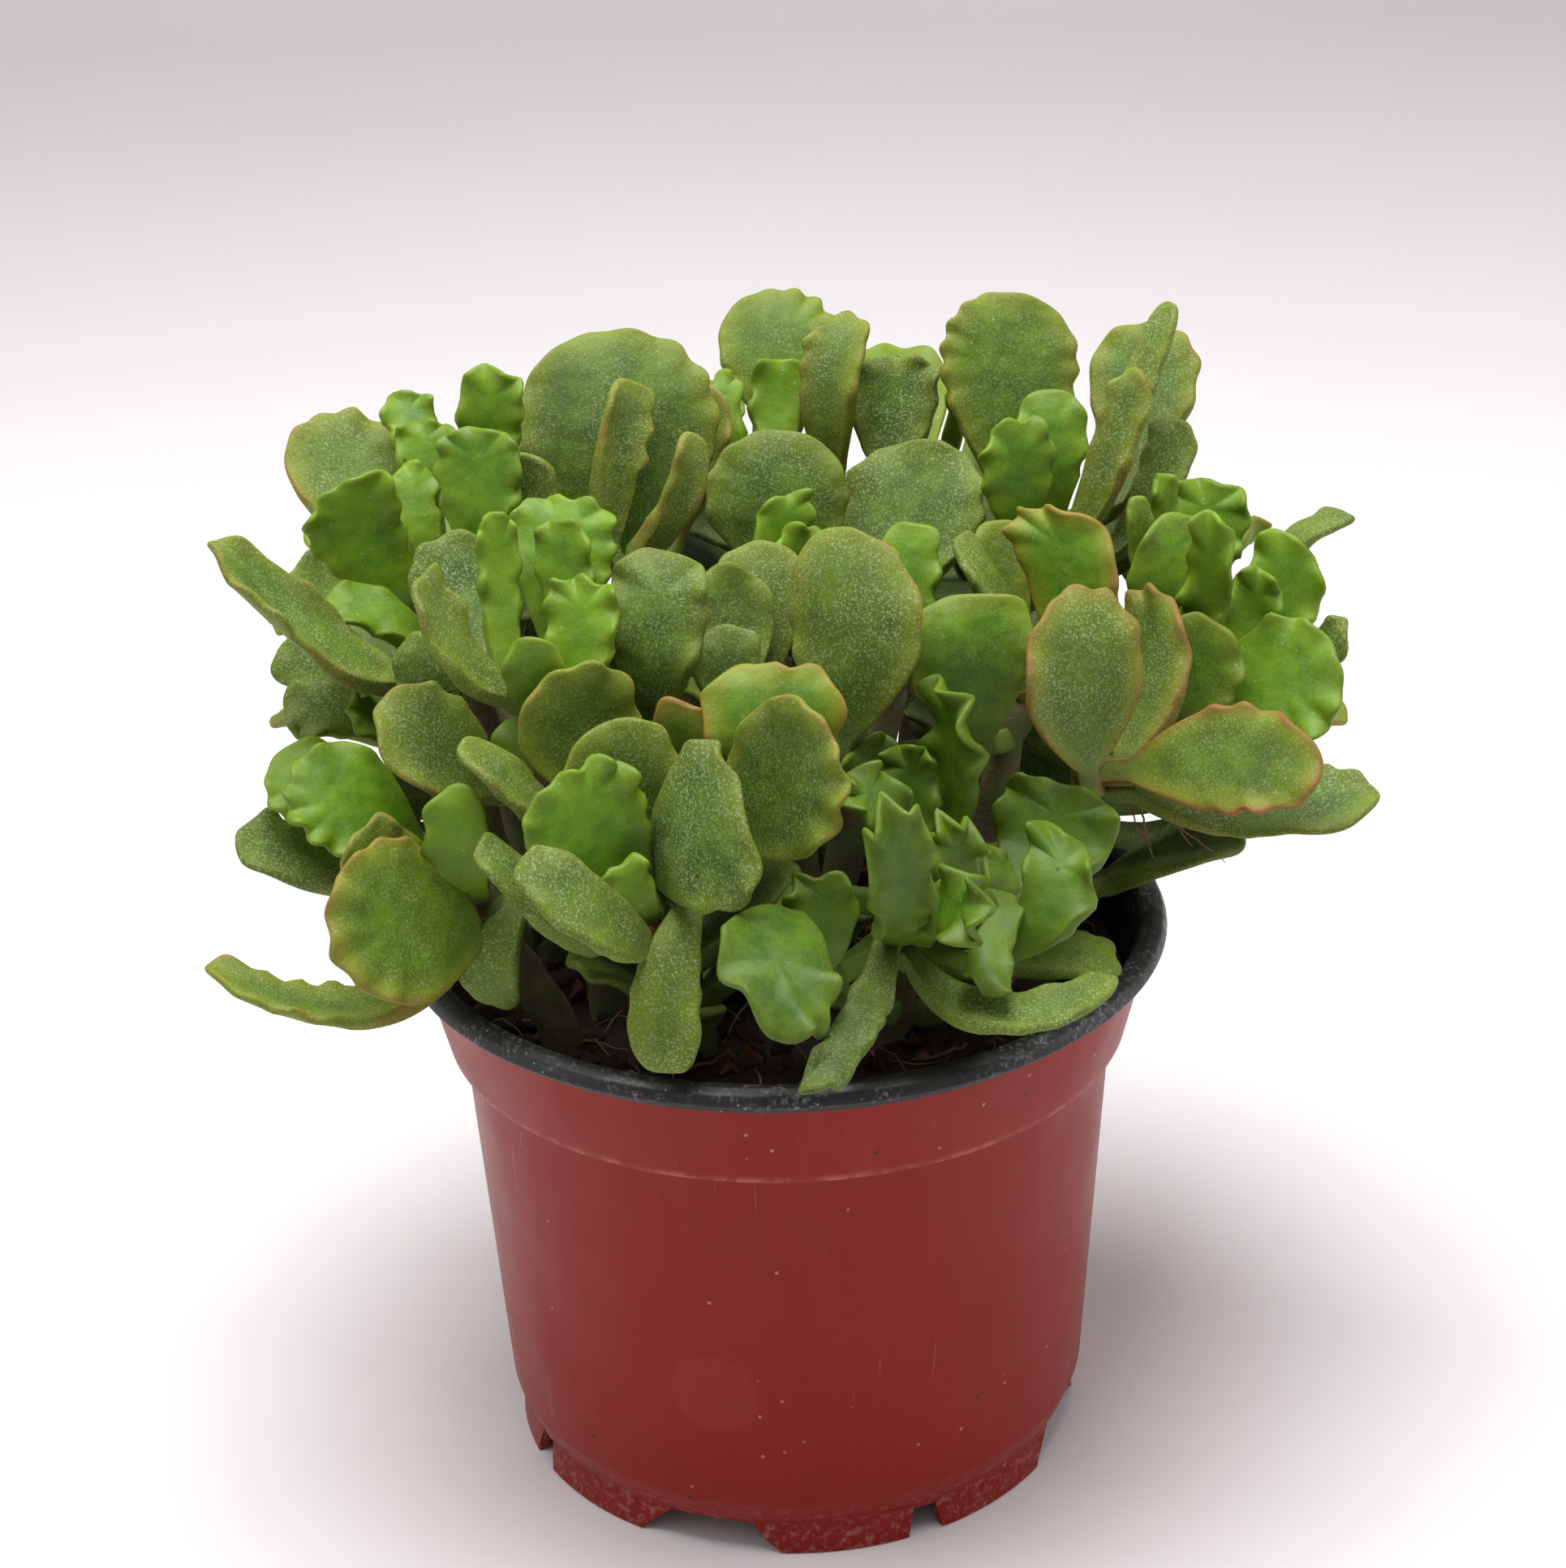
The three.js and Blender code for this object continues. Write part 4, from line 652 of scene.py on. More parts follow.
# Shoots that the photo shows: name, foot in the soil (x, y), then its crowns. A crown is its place
# (u, v, depth) and its leaves. A leaf is its kind, heel, tip, left side and right side, then fold in
# degrees, wave in mm, waves along the edge, age and edge flush. Millimetres: u and v lie on the
# upright plane through the pot's axis as the eye sees it, and depth is behind that plane.
SHOOTS = [
    ["front_left", [-12, -22], [
        [[-18, 84, -30], [
            ["spoon", [-24, 94, -27], [-27, 115.5, -29], [-35.5, 107, -27], [-18.5, 107, -27],
             10, 0.3, 4, 0.55, 0.6],
            ["spoon", [-17, 86, -28], [-22, 107.5, -32], [-31, 98.5, -31], [-13, 99.5, -31],
             8, 0.4, 4, 0.6, 0.25],
            ["fan", [-21, 80.5, -33], [-29.5, 99.5, -41], [-35.5, 90, -40], [-18.5, 96.5, -40],
             14, 0.6, 9, 0.05, 0],
            ["fan", [-19.5, 79, -38], [-22.5, 86, -41], [-25, 83.5, -41], [-18.5, 85.5, -41],
             10, 0.7, 5, 0.05, 0],
            ["fan", [-16, 84, -34], [-5, 94, -40], [-13, 103, -36], [-7, 78.5, -42],
             -10, 0.7, 6, 0.85, 0.1],
            ["spoon", [-10, 88, -31], [7.5, 103, -29], [-5.5, 106, -26], [6.5, 88, -33],
             8, 0.6, 8, 0.6, 0.6],
            ["fan", [-20, 73, -38], [-36, 86.5, -42], [-30, 75, -46], [-25, 83.5, -41],
             18, 0.6, 6, 0.95, 0],
            ["fan", [-29, 75, -30], [-41.5, 89.5, -33], [-39, 82, -36], [-35, 86, -30], 16, 0.6, 4, 0.9, 0],
            ["oval", [-31, 93, -27], [-43, 104.5, -30], [-39.5, 97, -33], [-36, 101.5, -27],
             30, 0.5, 4, 0.85, 0.2],
            ["fan", [-13, 79, -35], [-17.5, 53, -42], [-21.5, 66, -41], [-11.5, 64, -39],
             12, 0.8, 5, 0.8, 0]
        ]]]],
    ["front_right", [14, -20], [
        [[17, 79, -27], [
            ["fan", [22, 89, -23], [21.5, 111.8, -25], [20.5, 103, -21], [26.5, 104.5, -27],
             20, 2.0, 6, 0.2, 0],
            ["fan", [18, 87, -28], [16.5, 102.5, -30], [13.5, 99.5, -28], [21.5, 97.5, -28],
             20, 1.8, 6, 0.18, 0],
            ["fan", [15.5, 86, -31], [9, 98, -34], [15, 97, -32], [10, 90.5, -36], 30, 1.6, 5, 0.2, 0],
            ["fan", [16.5, 74, -35], [15.5, 94, -42], [11, 85, -42], [20.5, 86.5, -42], 30, 2.0, 8, 0.2, 0],
            ["fan", [20, 77, -32], [23, 91.5, -34], [20, 86.5, -36], [27, 86.5, -32], 30, 1.8, 6, 0.15, 0],
            ["fan", [19, 74, -37], [27.5, 76, -44], [25, 83, -40], [23.5, 72, -44], 20, 1.6, 6, 0.15, 0],
            ["fan", [25, 76, -28], [28.5, 87, -26], [27, 83, -30], [31, 81.5, -26], 20, 1.2, 4, 0.25, 0],
            ["fan", [29, 70, -30], [37, 90, -27], [32.5, 84, -30], [42, 79, -30], 12, 1.5, 6, 0.18, 0],
            ["fan", [31, 76, -33], [29, 64, -43], [25, 68, -42], [31.5, 66.5, -40], -20, 1.0, 4, 0.15, 0],
            ["fan", [33, 77, -24], [39, 96, -28], [28.5, 91, -28], [45.5, 87, -25], 10, 1.2, 6, 0.28, 0],
            ["oval", [0, 77, -37], [0.5, 57.5, -52], [-9.5, 71, -47], [6.8, 67, -49], 10, 1.6, 5, 0.3, 0],
            ["fan", [5, 70, -34], [4, 83.5, -38], [0, 80.5, -38], [10, 78.5, -38], 14, 1.0, 5, 0.2, 0],
            ["fan", [13.5, 71, -38], [3, 49, -56], [6, 60, -50], [13, 60, -50], 10, 1.4, 5, 0.8, 0],
            ["fan", [17, 70, -34], [46, 65, -31], [32, 65.5, -34], [32, 58.5, -42], 24, 0.5, 4, 0.85, 0],
            ["fan", [31, 69, -20], [46, 69.5, -12], [41, 73, -12], [41, 66, -18], 8, 0.5, 4, 0.5, 0],
            ["fan", [17, 90, -22], [11.5, 103.5, -23], [6.5, 99.5, -23], [16, 100.5, -22],
             14, 0.8, 5, 0.45, 0]
        ]]]],
    ["right_lower", [34, -8], [
        [[44, 98, -4], [
            ["oval", [41, 99, -17], [40, 124.7, -22], [32.5, 111, -24], [48.5, 112, -20],
             14, 0.6, 6, 0.85, 0.9],
            ["oval", [47, 99, -12], [49, 124.5, -12], [45, 113, -10], [55, 109, -14], 14, 0.7, 6, 0.7, 0.9],
            ["oval", [48, 97.5, -15], [73.3, 96.5, -22], [61.5, 107, -18], [65, 90.5, -22],
             10, 0.8, 5, 0.55, 1.0],
            ["oval", [48, 95, -11], [81, 92, -14], [68, 98, -8], [66, 86.5, -17], 14, 0.6, 5, 0.85, 0.25],
            ["spoon", [52, 103, -4], [57, 120, -5], [50, 112, -4], [62.5, 111.5, -5], 8, 0.4, 4, 0.4, 0.2]
        ]]]],
    ["right_upper", [36, 8], [
        [[53, 111, 8], [
            ["spoon", [57, 109, 3], [75.5, 108, -2], [65, 119.7, 3], [68, 100.5, -3], 10, 0.6, 8, 0.25, 0],
            ["fan", [58, 114, 5], [64.5, 126, 2], [60, 124, 3], [67, 121, 4], 20, 1.4, 5, 0.15, 0],
            ["spoon", [60, 114, 9], [67, 131.5, 12], [62, 126, 11], [72, 121.5, 12], 10, 0.9, 6, 0.18, 0],
            ["fan", [54, 113, 5], [57.5, 134.5, 2], [54.5, 130, 2], [61, 128.5, 1], 30, 1.4, 6, 0.15, 0],
            ["fan", [51, 116, 4], [53.5, 134.5, 2], [47, 127, 1], [55, 126, 3], 20, 0.9, 4, 0.3, 0],
            ["fan", [55, 122, 11], [57, 139, 16], [51, 136, 15], [62.5, 134, 15], 24, 1.2, 6, 0.2, 0],
            ["fan", [52, 126, 10], [51, 140, 11], [49, 137, 10], [53, 136, 10], 30, 1.2, 4, 0.2, 0],
            ["fan", [50, 121, 7], [47.5, 137, 6], [46, 133, 5], [50, 131, 6], 24, 0.9, 4, 0.35, 0],
            ["fan", [64, 123, 13], [75.5, 133.5, 15], [70, 133, 15], [71.5, 129.5, 11],
             20, 0.6, 4, 0.85, 0],
            ["fan", [65, 112, 9], [75.5, 117.5, 9], [72, 118, 11], [75, 112, 8], 10, 0.6, 4, 0.8, 0.1],
            ["fan", [59, 104, 1], [71.5, 100.5, -1], [69, 104, 3], [67, 98, -3], 10, 0.8, 4, 0.35, 0]
        ]]]],
    ["top_right", [26, 18], [
        [[36, 133, 24], [
            ["spoon", [30, 138, 26], [30.5, 165, 27], [22, 155, 26], [39.5, 153, 26], 6, 0.3, 5, 0.5, 0.5],
            ["spoon", [32.5, 131.5, 18], [32, 148.3, 14], [27, 141.5, 14], [36.7, 142, 14],
             10, 0.45, 9, 0.05, 0],
            ["spoon", [36.5, 135, 21], [36, 152, 19], [31.5, 147, 19], [41, 147, 19], 10, 0.45, 7, 0.08, 0],
            ["fan", [40, 132, 17], [47.5, 154, 14], [41, 144, 15], [49.5, 149, 13], 30, 0.5, 4, 0.75, 0.6],
            ["fan", [42, 135, 23], [51.5, 163, 26], [46, 153, 25], [51, 155, 22], 30, 0.6, 3, 0.9, 0.1],
            ["spoon", [46, 138, 29], [48.5, 160.5, 35], [41, 152, 33], [55, 149.5, 32],
             10, 0.5, 7, 0.8, 0.7],
            ["fan", [46, 131, 26], [52.5, 147.5, 29], [48, 143, 28], [54.5, 141, 27], 14, 0.9, 4, 0.85, 0]
        ]]]],
    ["top_centre", [3, 22], [
        [[5, 134, 30], [
            ["spoon", [2, 146, 38], [1.5, 166.2, 41], [-6.3, 157.5, 39], [9, 157, 39],
             8, 0.3, 5, 0.45, 0.4],
            ["fan", [8, 142, 31], [10.5, 162.8, 31], [4, 153.5, 29], [13, 156, 28], 45, 0.3, 4, 0.65, 0.5],
            ["fan", [16, 140, 31], [17, 157, 33], [10.5, 152, 33], [22, 149.5, 31], 10, 0.9, 5, 0.75, 0.2],
            ["spoon", [-3, 141, 31], [-5.5, 155.5, 32], [-8, 151, 31], [-3, 150, 30], 12, 0.6, 6, 0.05, 0],
            ["spoon", [1, 141, 31], [2, 157.3, 34], [-2.5, 152, 34], [4.5, 150, 33], 14, 0.5, 5, 0.08, 0]
        ]],
        [[6, 120, 10], [
            ["spoon", [0, 127, 14], [1.5, 147.5, 18], [-8.8, 140, 16], [10, 139, 15], 8, 0.4, 5, 0.6, 0.15],
            ["spoon", [18, 124, 14], [18.5, 145.6, 19], [8.7, 139.5, 18], [28, 141, 18],
             6, 0.8, 4, 0.85, 0.05],
            ["fan", [4, 127, 11], [2.5, 139, 12], [-2.5, 134.5, 12], [5.5, 135, 11], 20, 0.8, 5, 0.15, 0],
            ["spoon", [5, 123, 8], [3, 134.5, 8], [-0.5, 130, 8], [6.5, 131, 8], 10, 0.4, 4, 0.2, 0]
        ]]]],
    ["top_left", [-14, 12], [
        [[-17, 127, 12], [
            ["spoon", [-19, 130, 17], [-20, 161.5, 22], [-32.5, 148, 20], [-6.5, 148, 20],
             8, 0.4, 5, 0.6, 0.4],
            ["spoon", [-13, 134, 20], [-9.5, 154.5, 27], [-15, 147, 25], [-5, 147, 25],
             8, 0.4, 4, 0.5, 0.8],
            ["fan", [-22, 133, 11], [-17.5, 154.8, 12], [-23, 146, 9], [-15.5, 149, 13],
             40, 0.5, 4, 0.8, 0.5],
            ["fan", [-17.5, 131, 8], [-10, 147.5, 7], [-14.5, 140.5, 4], [-8.5, 142, 9],
             40, 0.5, 4, 0.75, 0.5]
        ]]]],
    ["left_upper", [-32, 6], [
        [[-44, 125, 10], [
            ["fan", [-48, 126, 7], [-55, 142.3, 3], [-62, 137, 5], [-48.5, 140.5, 4], 10, 0.7, 5, 0.15, 0],
            ["spoon", [-44.5, 130, 9], [-46.5, 144.5, 6], [-49.5, 139.5, 6], [-43, 139.5, 6],
             10, 0.5, 7, 0.1, 0],
            ["fan", [-38, 130, 7], [-37.3, 149, 5], [-43.3, 142, 5], [-32, 142, 5], 14, 0.8, 9, 0.12, 0],
            ["fan", [-45, 142, 18], [-47, 154, 21], [-49.8, 150.5, 20], [-42.8, 151, 20],
             20, 1.0, 5, 0.08, 0],
            ["fan", [-44.5, 138, 14], [-44.5, 150.2, 15], [-48.5, 147.5, 15], [-40.5, 147.8, 15],
             20, 0.8, 5, 0.05, 0],
            ["fan", [-37, 141, 14], [-34.8, 157, 17], [-39.8, 152, 16], [-31.3, 151, 16],
             16, 1.0, 6, 0.06, 0],
            ["spoon", [-51, 131, 16], [-56.5, 151.6, 20], [-62.8, 143.5, 18], [-47, 145, 20],
             8, 0.5, 5, 0.8, 0.6],
            ["spoon", [-33, 131, 10], [-32, 145.5, 12], [-37, 140, 12], [-27.6, 140.5, 12],
             8, 0.4, 4, 0.8, 0.1]
        ]]]],
    ["left_centre", [-24, -10], [
        [[-31, 110, -13], [
            ["fan", [-36, 115, -16], [-36, 137.4, -14], [-39, 130, -14], [-33.3, 130, -14],
             24, 0.7, 9, 0.12, 0],
            ["fan", [-29, 118, -9], [-27.5, 139.3, -3], [-34.5, 133, -5], [-20.5, 133.5, -4],
             8, 0.6, 5, 0.18, 0],
            ["fan", [-27, 118, -13], [-27.8, 136.2, -11], [-31, 131, -11], [-23.7, 130.5, -12],
             12, 0.8, 6, 0.1, 0],
            ["fan", [-28, 109, -20], [-25, 128, -22], [-30.7, 120.5, -22], [-20.3, 123.5, -22],
             12, 0.9, 8, 0.14, 0],
            ["spoon", [-40, 117, -8], [-41.5, 134.8, -5], [-48, 127, -5], [-35, 127, -6],
             8, 0.4, 4, 0.85, 0.05],
            ["fan", [-35, 111, -19], [-46.5, 129, -23], [-44.5, 116, -25], [-39.5, 120, -20],
             40, 0.7, 5, 0.7, 0.15],
            ["spoon", [-31, 110, -18], [-33, 119.7, -23], [-37, 116, -23], [-28.5, 117, -23],
             8, 0.4, 4, 0.2, 0]
        ]],
        [[-16, 104, -12], [
            ["fan", [-17, 107, -16], [-14.5, 131.5, -17], [-22, 124, -17], [-8.8, 122, -19],
             10, 1.1, 6, 0.6, 0.15],
            ["spoon", [-14, 98, -18], [-13, 110.3, -21], [-17, 106, -21], [-9, 106, -21],
             8, 0.4, 4, 0.4, 0.9]
        ]]]],
    ["left_outer", [-36, -8], [
        [[-48, 110, -3], [
            ["oval", [-50, 113.5, -8], [-73.5, 134.3, -12], [-63, 127, -7], [-62, 116, -16],
             50, 0.7, 5, 0.9, 0.4],
            ["spoon", [-54, 121, 6], [-61.5, 132, 11], [-66, 126.5, 11], [-56, 129, 11],
             8, 0.4, 4, 0.85, 0],
            ["fan", [-47, 119, -4], [-59, 125.5, -2], [-53.5, 127.5, 0], [-55, 121, -5],
             14, 0.6, 5, 0.25, 0],
            ["fan", [-51, 112, 0], [-66.5, 118, 3], [-63, 122, 5], [-61, 112, 1], 10, 0.6, 5, 0.85, 0],
            ["fan", [-52, 108, -2], [-66, 109.5, -2], [-61, 114, 1], [-60.5, 105.5, -4],
             10, 0.7, 5, 1.0, 0],
            ["spoon", [-51, 106, -5], [-57, 109, -6], [-56, 112, -4], [-55, 105.5, -7], 10, 0.4, 4, 0.3, 0],
            ["oval", [-45, 109, -8], [-47, 121, -12], [-51.3, 116, -12], [-42, 116.5, -12],
             12, 0.4, 4, 0.9, 0]
        ]],
        [[-41, 98, -12], [
            ["oval", [-39, 98, -17], [-54, 109, -20], [-44.5, 112.5, -17], [-48, 97, -24],
             10, 0.7, 4, 0.85, 0.5],
            ["spoon", [-34.5, 99, -17], [-35.5, 108, -20], [-38.5, 104.5, -20], [-31.5, 105, -20],
             8, 0.4, 4, 0.3, 0]
        ]]]],
    ["left_lower", [-30, -20], [
        [[-44, 84, -22], [
            ["spoon", [-50, 89, -23], [-66, 101, -25], [-56, 104.5, -22], [-62, 89, -28],
             8, 0.4, 6, 0.14, 0],
            ["spoon", [-53, 92, -19], [-69, 101.5, -18], [-61, 106, -16], [-66, 93, -22],
             8, 0.4, 4, 0.22, 0],
            ["fan", [-58, 84, -22], [-73.5, 92.5, -22], [-67, 93.5, -19], [-69.5, 85, -25],
             14, 0.4, 4, 0.85, 0],
            ["spoon", [-50, 80, -26], [-57, 92.7, -29], [-62, 85.5, -30], [-50, 91, -28],
             8, 0.6, 7, 0.5, 0.35],
            ["oval", [-43, 76, -27], [-63, 77.5, -38], [-53, 91, -33], [-55, 65, -38],
             8, 0.7, 9, 0.5, 0.85],
            ["fan", [-46, 71, -24], [-80, 71.5, -26], [-66, 69.5, -24], [-66, 63, -32],
             30, 0.6, 5, 0.6, 0.5],
            ["spoon", [-42, 83, -25], [-44, 98.5, -29], [-48.8, 91, -29], [-39.5, 91, -28],
             8, 0.3, 4, 0.22, 0],
            ["fan", [-37, 79, -25], [-40.5, 64.5, -24], [-44.5, 71.5, -26], [-36.5, 68.5, -25],
             10, 0.5, 4, 0.95, 0]
        ]]]],
    ["centre", [4, -4], [
        [[1, 100, -12], [
            ["fan", [0, 98, -22], [-1.5, 115, -25], [-10.5, 109, -24], [9, 107, -25],
             10, 0.6, 5, 0.35, 0.8],
            ["oval", [9, 104, -16], [9, 134, -15], [1.5, 119, -18], [19.3, 117.5, -19],
             -12, 0.4, 4, 0.85, 0.5],
            ["spoon", [-4, 112, -11], [-7.5, 129, -8], [-12.5, 123, -8], [0.5, 120, -10],
             8, 0.3, 4, 0.55, 0.1],
            ["spoon", [-1, 114, -6], [-2, 132.3, -2], [-8.5, 127, -3], [4.5, 124, -4],
             8, 0.3, 4, 0.95, 0.5],
            ["spoon", [-5, 107, -14], [-7, 120.6, -14], [-11.5, 115, -14], [-1.5, 115, -16],
             8, 0.3, 4, 0.6, 0]
        ]],
        [[16, 113, -2], [
            ["spoon", [18, 116, -1], [18, 134.5, 1], [14, 128, 1], [22, 127, 0], 10, 0.5, 4, 0.2, 0],
            ["fan", [14, 114, -5], [13, 132, -5], [10.5, 126, -5], [16.7, 124.5, -7], 16, 0.9, 5, 0.15, 0]
        ]]]],
    ["right_centre", [24, -4], [
        [[32, 110, -3], [
            ["fan", [27, 104, -8], [25.5, 124, -13], [16.5, 119.5, -13], [34, 118.5, -14],
             10, 0.9, 4, 0.35, 0.35],
            ["fan", [38, 112, -2], [35.5, 136, -3], [32, 128, -2], [45.5, 124, -5], 12, 1.0, 4, 0.3, 0.9],
            ["spoon", [32, 118, 3], [29, 134.3, 7], [25.5, 128.5, 6], [33.5, 130, 6], 8, 0.4, 4, 0.5, 0.6],
            ["fan", [32, 119, -5], [24, 132.2, -6], [25, 126, -10], [29, 127, -5], 24, 0.4, 3, 0.95, 0]
        ]]]]
]

# Shoots on the far side, by rule: name, foot (x, y), crown (x, y, z), leaves, length, width
BACK_SHOOTS = [
    ["back_left", [-24, 20], [-48, 35, 107], 8, 29, 22],
    ["back_centre", [-8, 32], [-20, 50, 120], 8, 28, 21],
    ["back_right", [18, 30], [24, 51, 121], 8, 29, 22],
    ["back_right", [18, 30], [6, 57, 103], 4, 22, 17],
    ["back_side", [33, 14], [56, 32, 102], 8, 27, 19],
]
GOLDEN = 137.5
FIRST_TURN = 40
OUTWARD = 0.95
LOWEST_RISE = 0.15
TOP_RISE = 1.5
LEAFY_PART = 0.4
STALK_LENGTH = 7
TOP_LEAF_SIZE = 0.65
WIDEST = 0.68
ARCH = 1.5


def unit(vector):
    return vector / np.linalg.norm(vector)


def seen(reading):
    """Point in space of a reading (u, v, depth)."""
    near_share = (reading[2] - EYE[1]) / -EYE[1]
    x = EYE[0] + (reading[0] - EYE[0]) * near_share
    return np.array([x, reading[2], EYE[2] + (reading[1] - EYE[2]) * near_share])


def unseen(point):
    near_share = (point[1] - EYE[1]) / -EYE[1]
    u = EYE[0] + (point[0] - EYE[0]) / near_share
    return np.array([u, EYE[2] + (point[2] - EYE[2]) / near_share, point[1]])


def bowl(reading, crown):
    """A rosette opens like a bowl that leans back."""
    u, v, depth = reading
    return np.array([u, v, depth + LEAN * (v - crown[1]) - BOWL * abs(u - crown[0])], float)


def list_leaves():
    leaves, stems = [], []
    for shoot, foot, crowns in SHOOTS:
        for crown, rows in crowns:
            start = np.array([foot[0], foot[1], SOIL_TOP - HOLE_DEPTH], float)
            stem = {"shoot": shoot, "from": start, "to": seen(crown)}
            stems.append(stem)
            for kind, heel, tip, left, right, fold, wave, waves, age, flush in rows:
                leaf = {"shoot": shoot, "stem": stem, "kind": kind, "up": False}
                leaf.update(heel=bowl(heel, crown), tip=bowl(tip, crown))
                leaf.update(left=bowl(left, crown), right=bowl(right, crown))
                leaf.update(fold=fold, wave=wave, waves=waves, age=age, flush=flush)
                leaves.append(leaf)
    for shoot, foot, crown, count, length, width in BACK_SHOOTS:
        crown = np.array(crown, float)
        start = np.array([foot[0], foot[1], SOIL_TOP - HOLE_DEPTH], float)
        stem = {"shoot": shoot, "from": start, "to": crown}
        stems.append(stem)
        out = unit(np.array([crown[0] - foot[0] / 2, crown[1] - foot[1] / 3, 0]))
        along = stem["to"] - stem["from"]
        for i in range(count):
            share = i / (count - 1)
            turn = math.radians(GOLDEN * i + FIRST_TURN)
            rise = LOWEST_RISE + TOP_RISE * share * share
            x = math.cos(turn) + OUTWARD * out[0]
            away = unit(np.array([x, math.sin(turn) + OUTWARD * out[1], rise]))
            size = 1 - (1 - TOP_LEAF_SIZE) * share
            heel = crown - along * LEAFY_PART * (1 - share) ** 1.3 + away * STALK_LENGTH
            tip = heel + away * length * size
            across = unit(np.cross(away, [0, 0, 1]))
            middle = heel + (tip - heel) * WIDEST + np.array([0, 0, ARCH])
            side = across * width * size / 2
            leaf = {"shoot": shoot, "stem": stem, "kind": "fan" if i % 3 == 1 else "spoon", "up": True}
            leaf.update(heel=unseen(heel), tip=unseen(tip), left=unseen(middle + side))
            leaf.update(right=unseen(middle - side), fold=10 + 8 * ((i * 5) % 3), wave=0.4 + 0.6 * share)
            leaf.update(waves=4 + i % 3, age=0.9 - 0.7 * share, flush=((i * 7) % 5) / 6)
            leaves.append(leaf)
    return leaves, stems


def shape_of(leaf):
    end, neck, widest = KINDS[leaf["kind"]]
    length = np.linalg.norm(seen(leaf["tip"]) - seen(leaf["heel"]))
    half = np.linalg.norm(seen(leaf["left"]) - seen(leaf["right"])) / 2
    return end, neck, widest if widest else max(0.45, 1 - half / length)


# Settling: places probed on a blade, how near two count as overlapping, rounds and the furthest push
PROBE_ROWS = (0.2, 0.35, 0.5, 0.65, 0.8, 0.95)
PROBE_COLUMNS = (-1, -0.5, 0, 0.5, 1)
PROBE_REACH = 2.4
ROUNDS = 80
STEP = 0.35
FURTHEST_PUSH = 14
FREE_FROM = 0.4


def sparse(leaf, rows=PROBE_ROWS, columns=PROBE_COLUMNS):
    """Readings over a blade, each with the share of the blade's push that it takes."""
    end, neck, widest = shape_of(leaf)
    middle = (leaf["left"] + leaf["right"]) / 2
    side = (leaf["left"] - leaf["right"]) / 2
    off = (middle - (leaf["heel"] * (1 - widest) + leaf["tip"] * widest)) / (4 * widest * (1 - widest))
    dots = []
    for s in rows:
        if s < widest:
            wide = 0.25 + 0.75 * math.sin(0.5 * math.pi * s / widest) ** neck
        else:
            wide = (1 - ((s - widest) / (1 - widest)) ** end) ** (1 / end)
        spine = leaf["heel"] * (1 - s) + leaf["tip"] * s + off * 4 * s * (1 - s)
        dots += [[*(spine + side * t * wide), s] for t in columns]
    return np.array(dots)


def settle(leaves):
    """Bends leaves that overlap apart in depth until each clears the next."""
    dots = [sparse(leaf) for leaf in leaves]
    pairs = []
    for i in range(len(leaves)):
        for j in range(i + 1, len(leaves)):
            gap = np.abs(dots[i][:, None, :2] - dots[j][None, :, :2])
            rows, columns = np.nonzero((gap <= PROBE_REACH).all(axis=2))
            if not len(rows):
                continue
            p, q = dots[i][rows], dots[j][columns]
            deeper = q[:, 2] - p[:, 2]
            sign = 1 if deeper.sum() >= 0 else -1
            free = np.ones(len(rows), bool)
            if leaves[i]["stem"] is leaves[j]["stem"]:
                free = (p[:, 3] >= FREE_FROM) & (q[:, 3] >= FREE_FROM)
            if free.any():
                pairs.append((i, j, deeper[free], p[free, 3], q[free, 3], sign))
    pushes = [0.0] * len(leaves)
    for _ in range(ROUNDS):
        for i, j, deeper, share_i, share_j, sign in pairs:
            miss = LEAF_GAP - sign * (deeper + pushes[j] * share_j - pushes[i] * share_i)
            k = int(np.argmax(miss))
            if miss[k] <= 0:
                continue
            step = STEP * miss[k] / (share_i[k] ** 2 + share_j[k] ** 2)
            pushes[i] = float(np.clip(pushes[i] - sign * step * share_i[k], -FURTHEST_PUSH, FURTHEST_PUSH))
            pushes[j] = float(np.clip(pushes[j] + sign * step * share_j[k], -FURTHEST_PUSH, FURTHEST_PUSH))
    for leaf, push in zip(leaves, pushes):
        widest = shape_of(leaf)[2]
        leaf["tip"][2] += push
        leaf["left"][2] += push * widest
        leaf["right"][2] += push * widest


def low_end(stem):
    """The lowest place on a stem where a leaf may grow, just above the soil."""
    return stem["from"] + np.array([0, 0, HOLE_DEPTH + BARE_STEM])


def root_of(stem, heel):
    """Where a leaf's stalk leaves its stem: a little under the nearest place to the heel."""
    low = low_end(stem)
    reach = np.linalg.norm(stem["to"] - low)
    way = unit(stem["to"] - low)
    t = np.dot(heel - low, way)
    off = np.linalg.norm(heel - low - way * t)
    return low + way * min(max(t - 0.4 * off, 1), reach - 0.5)


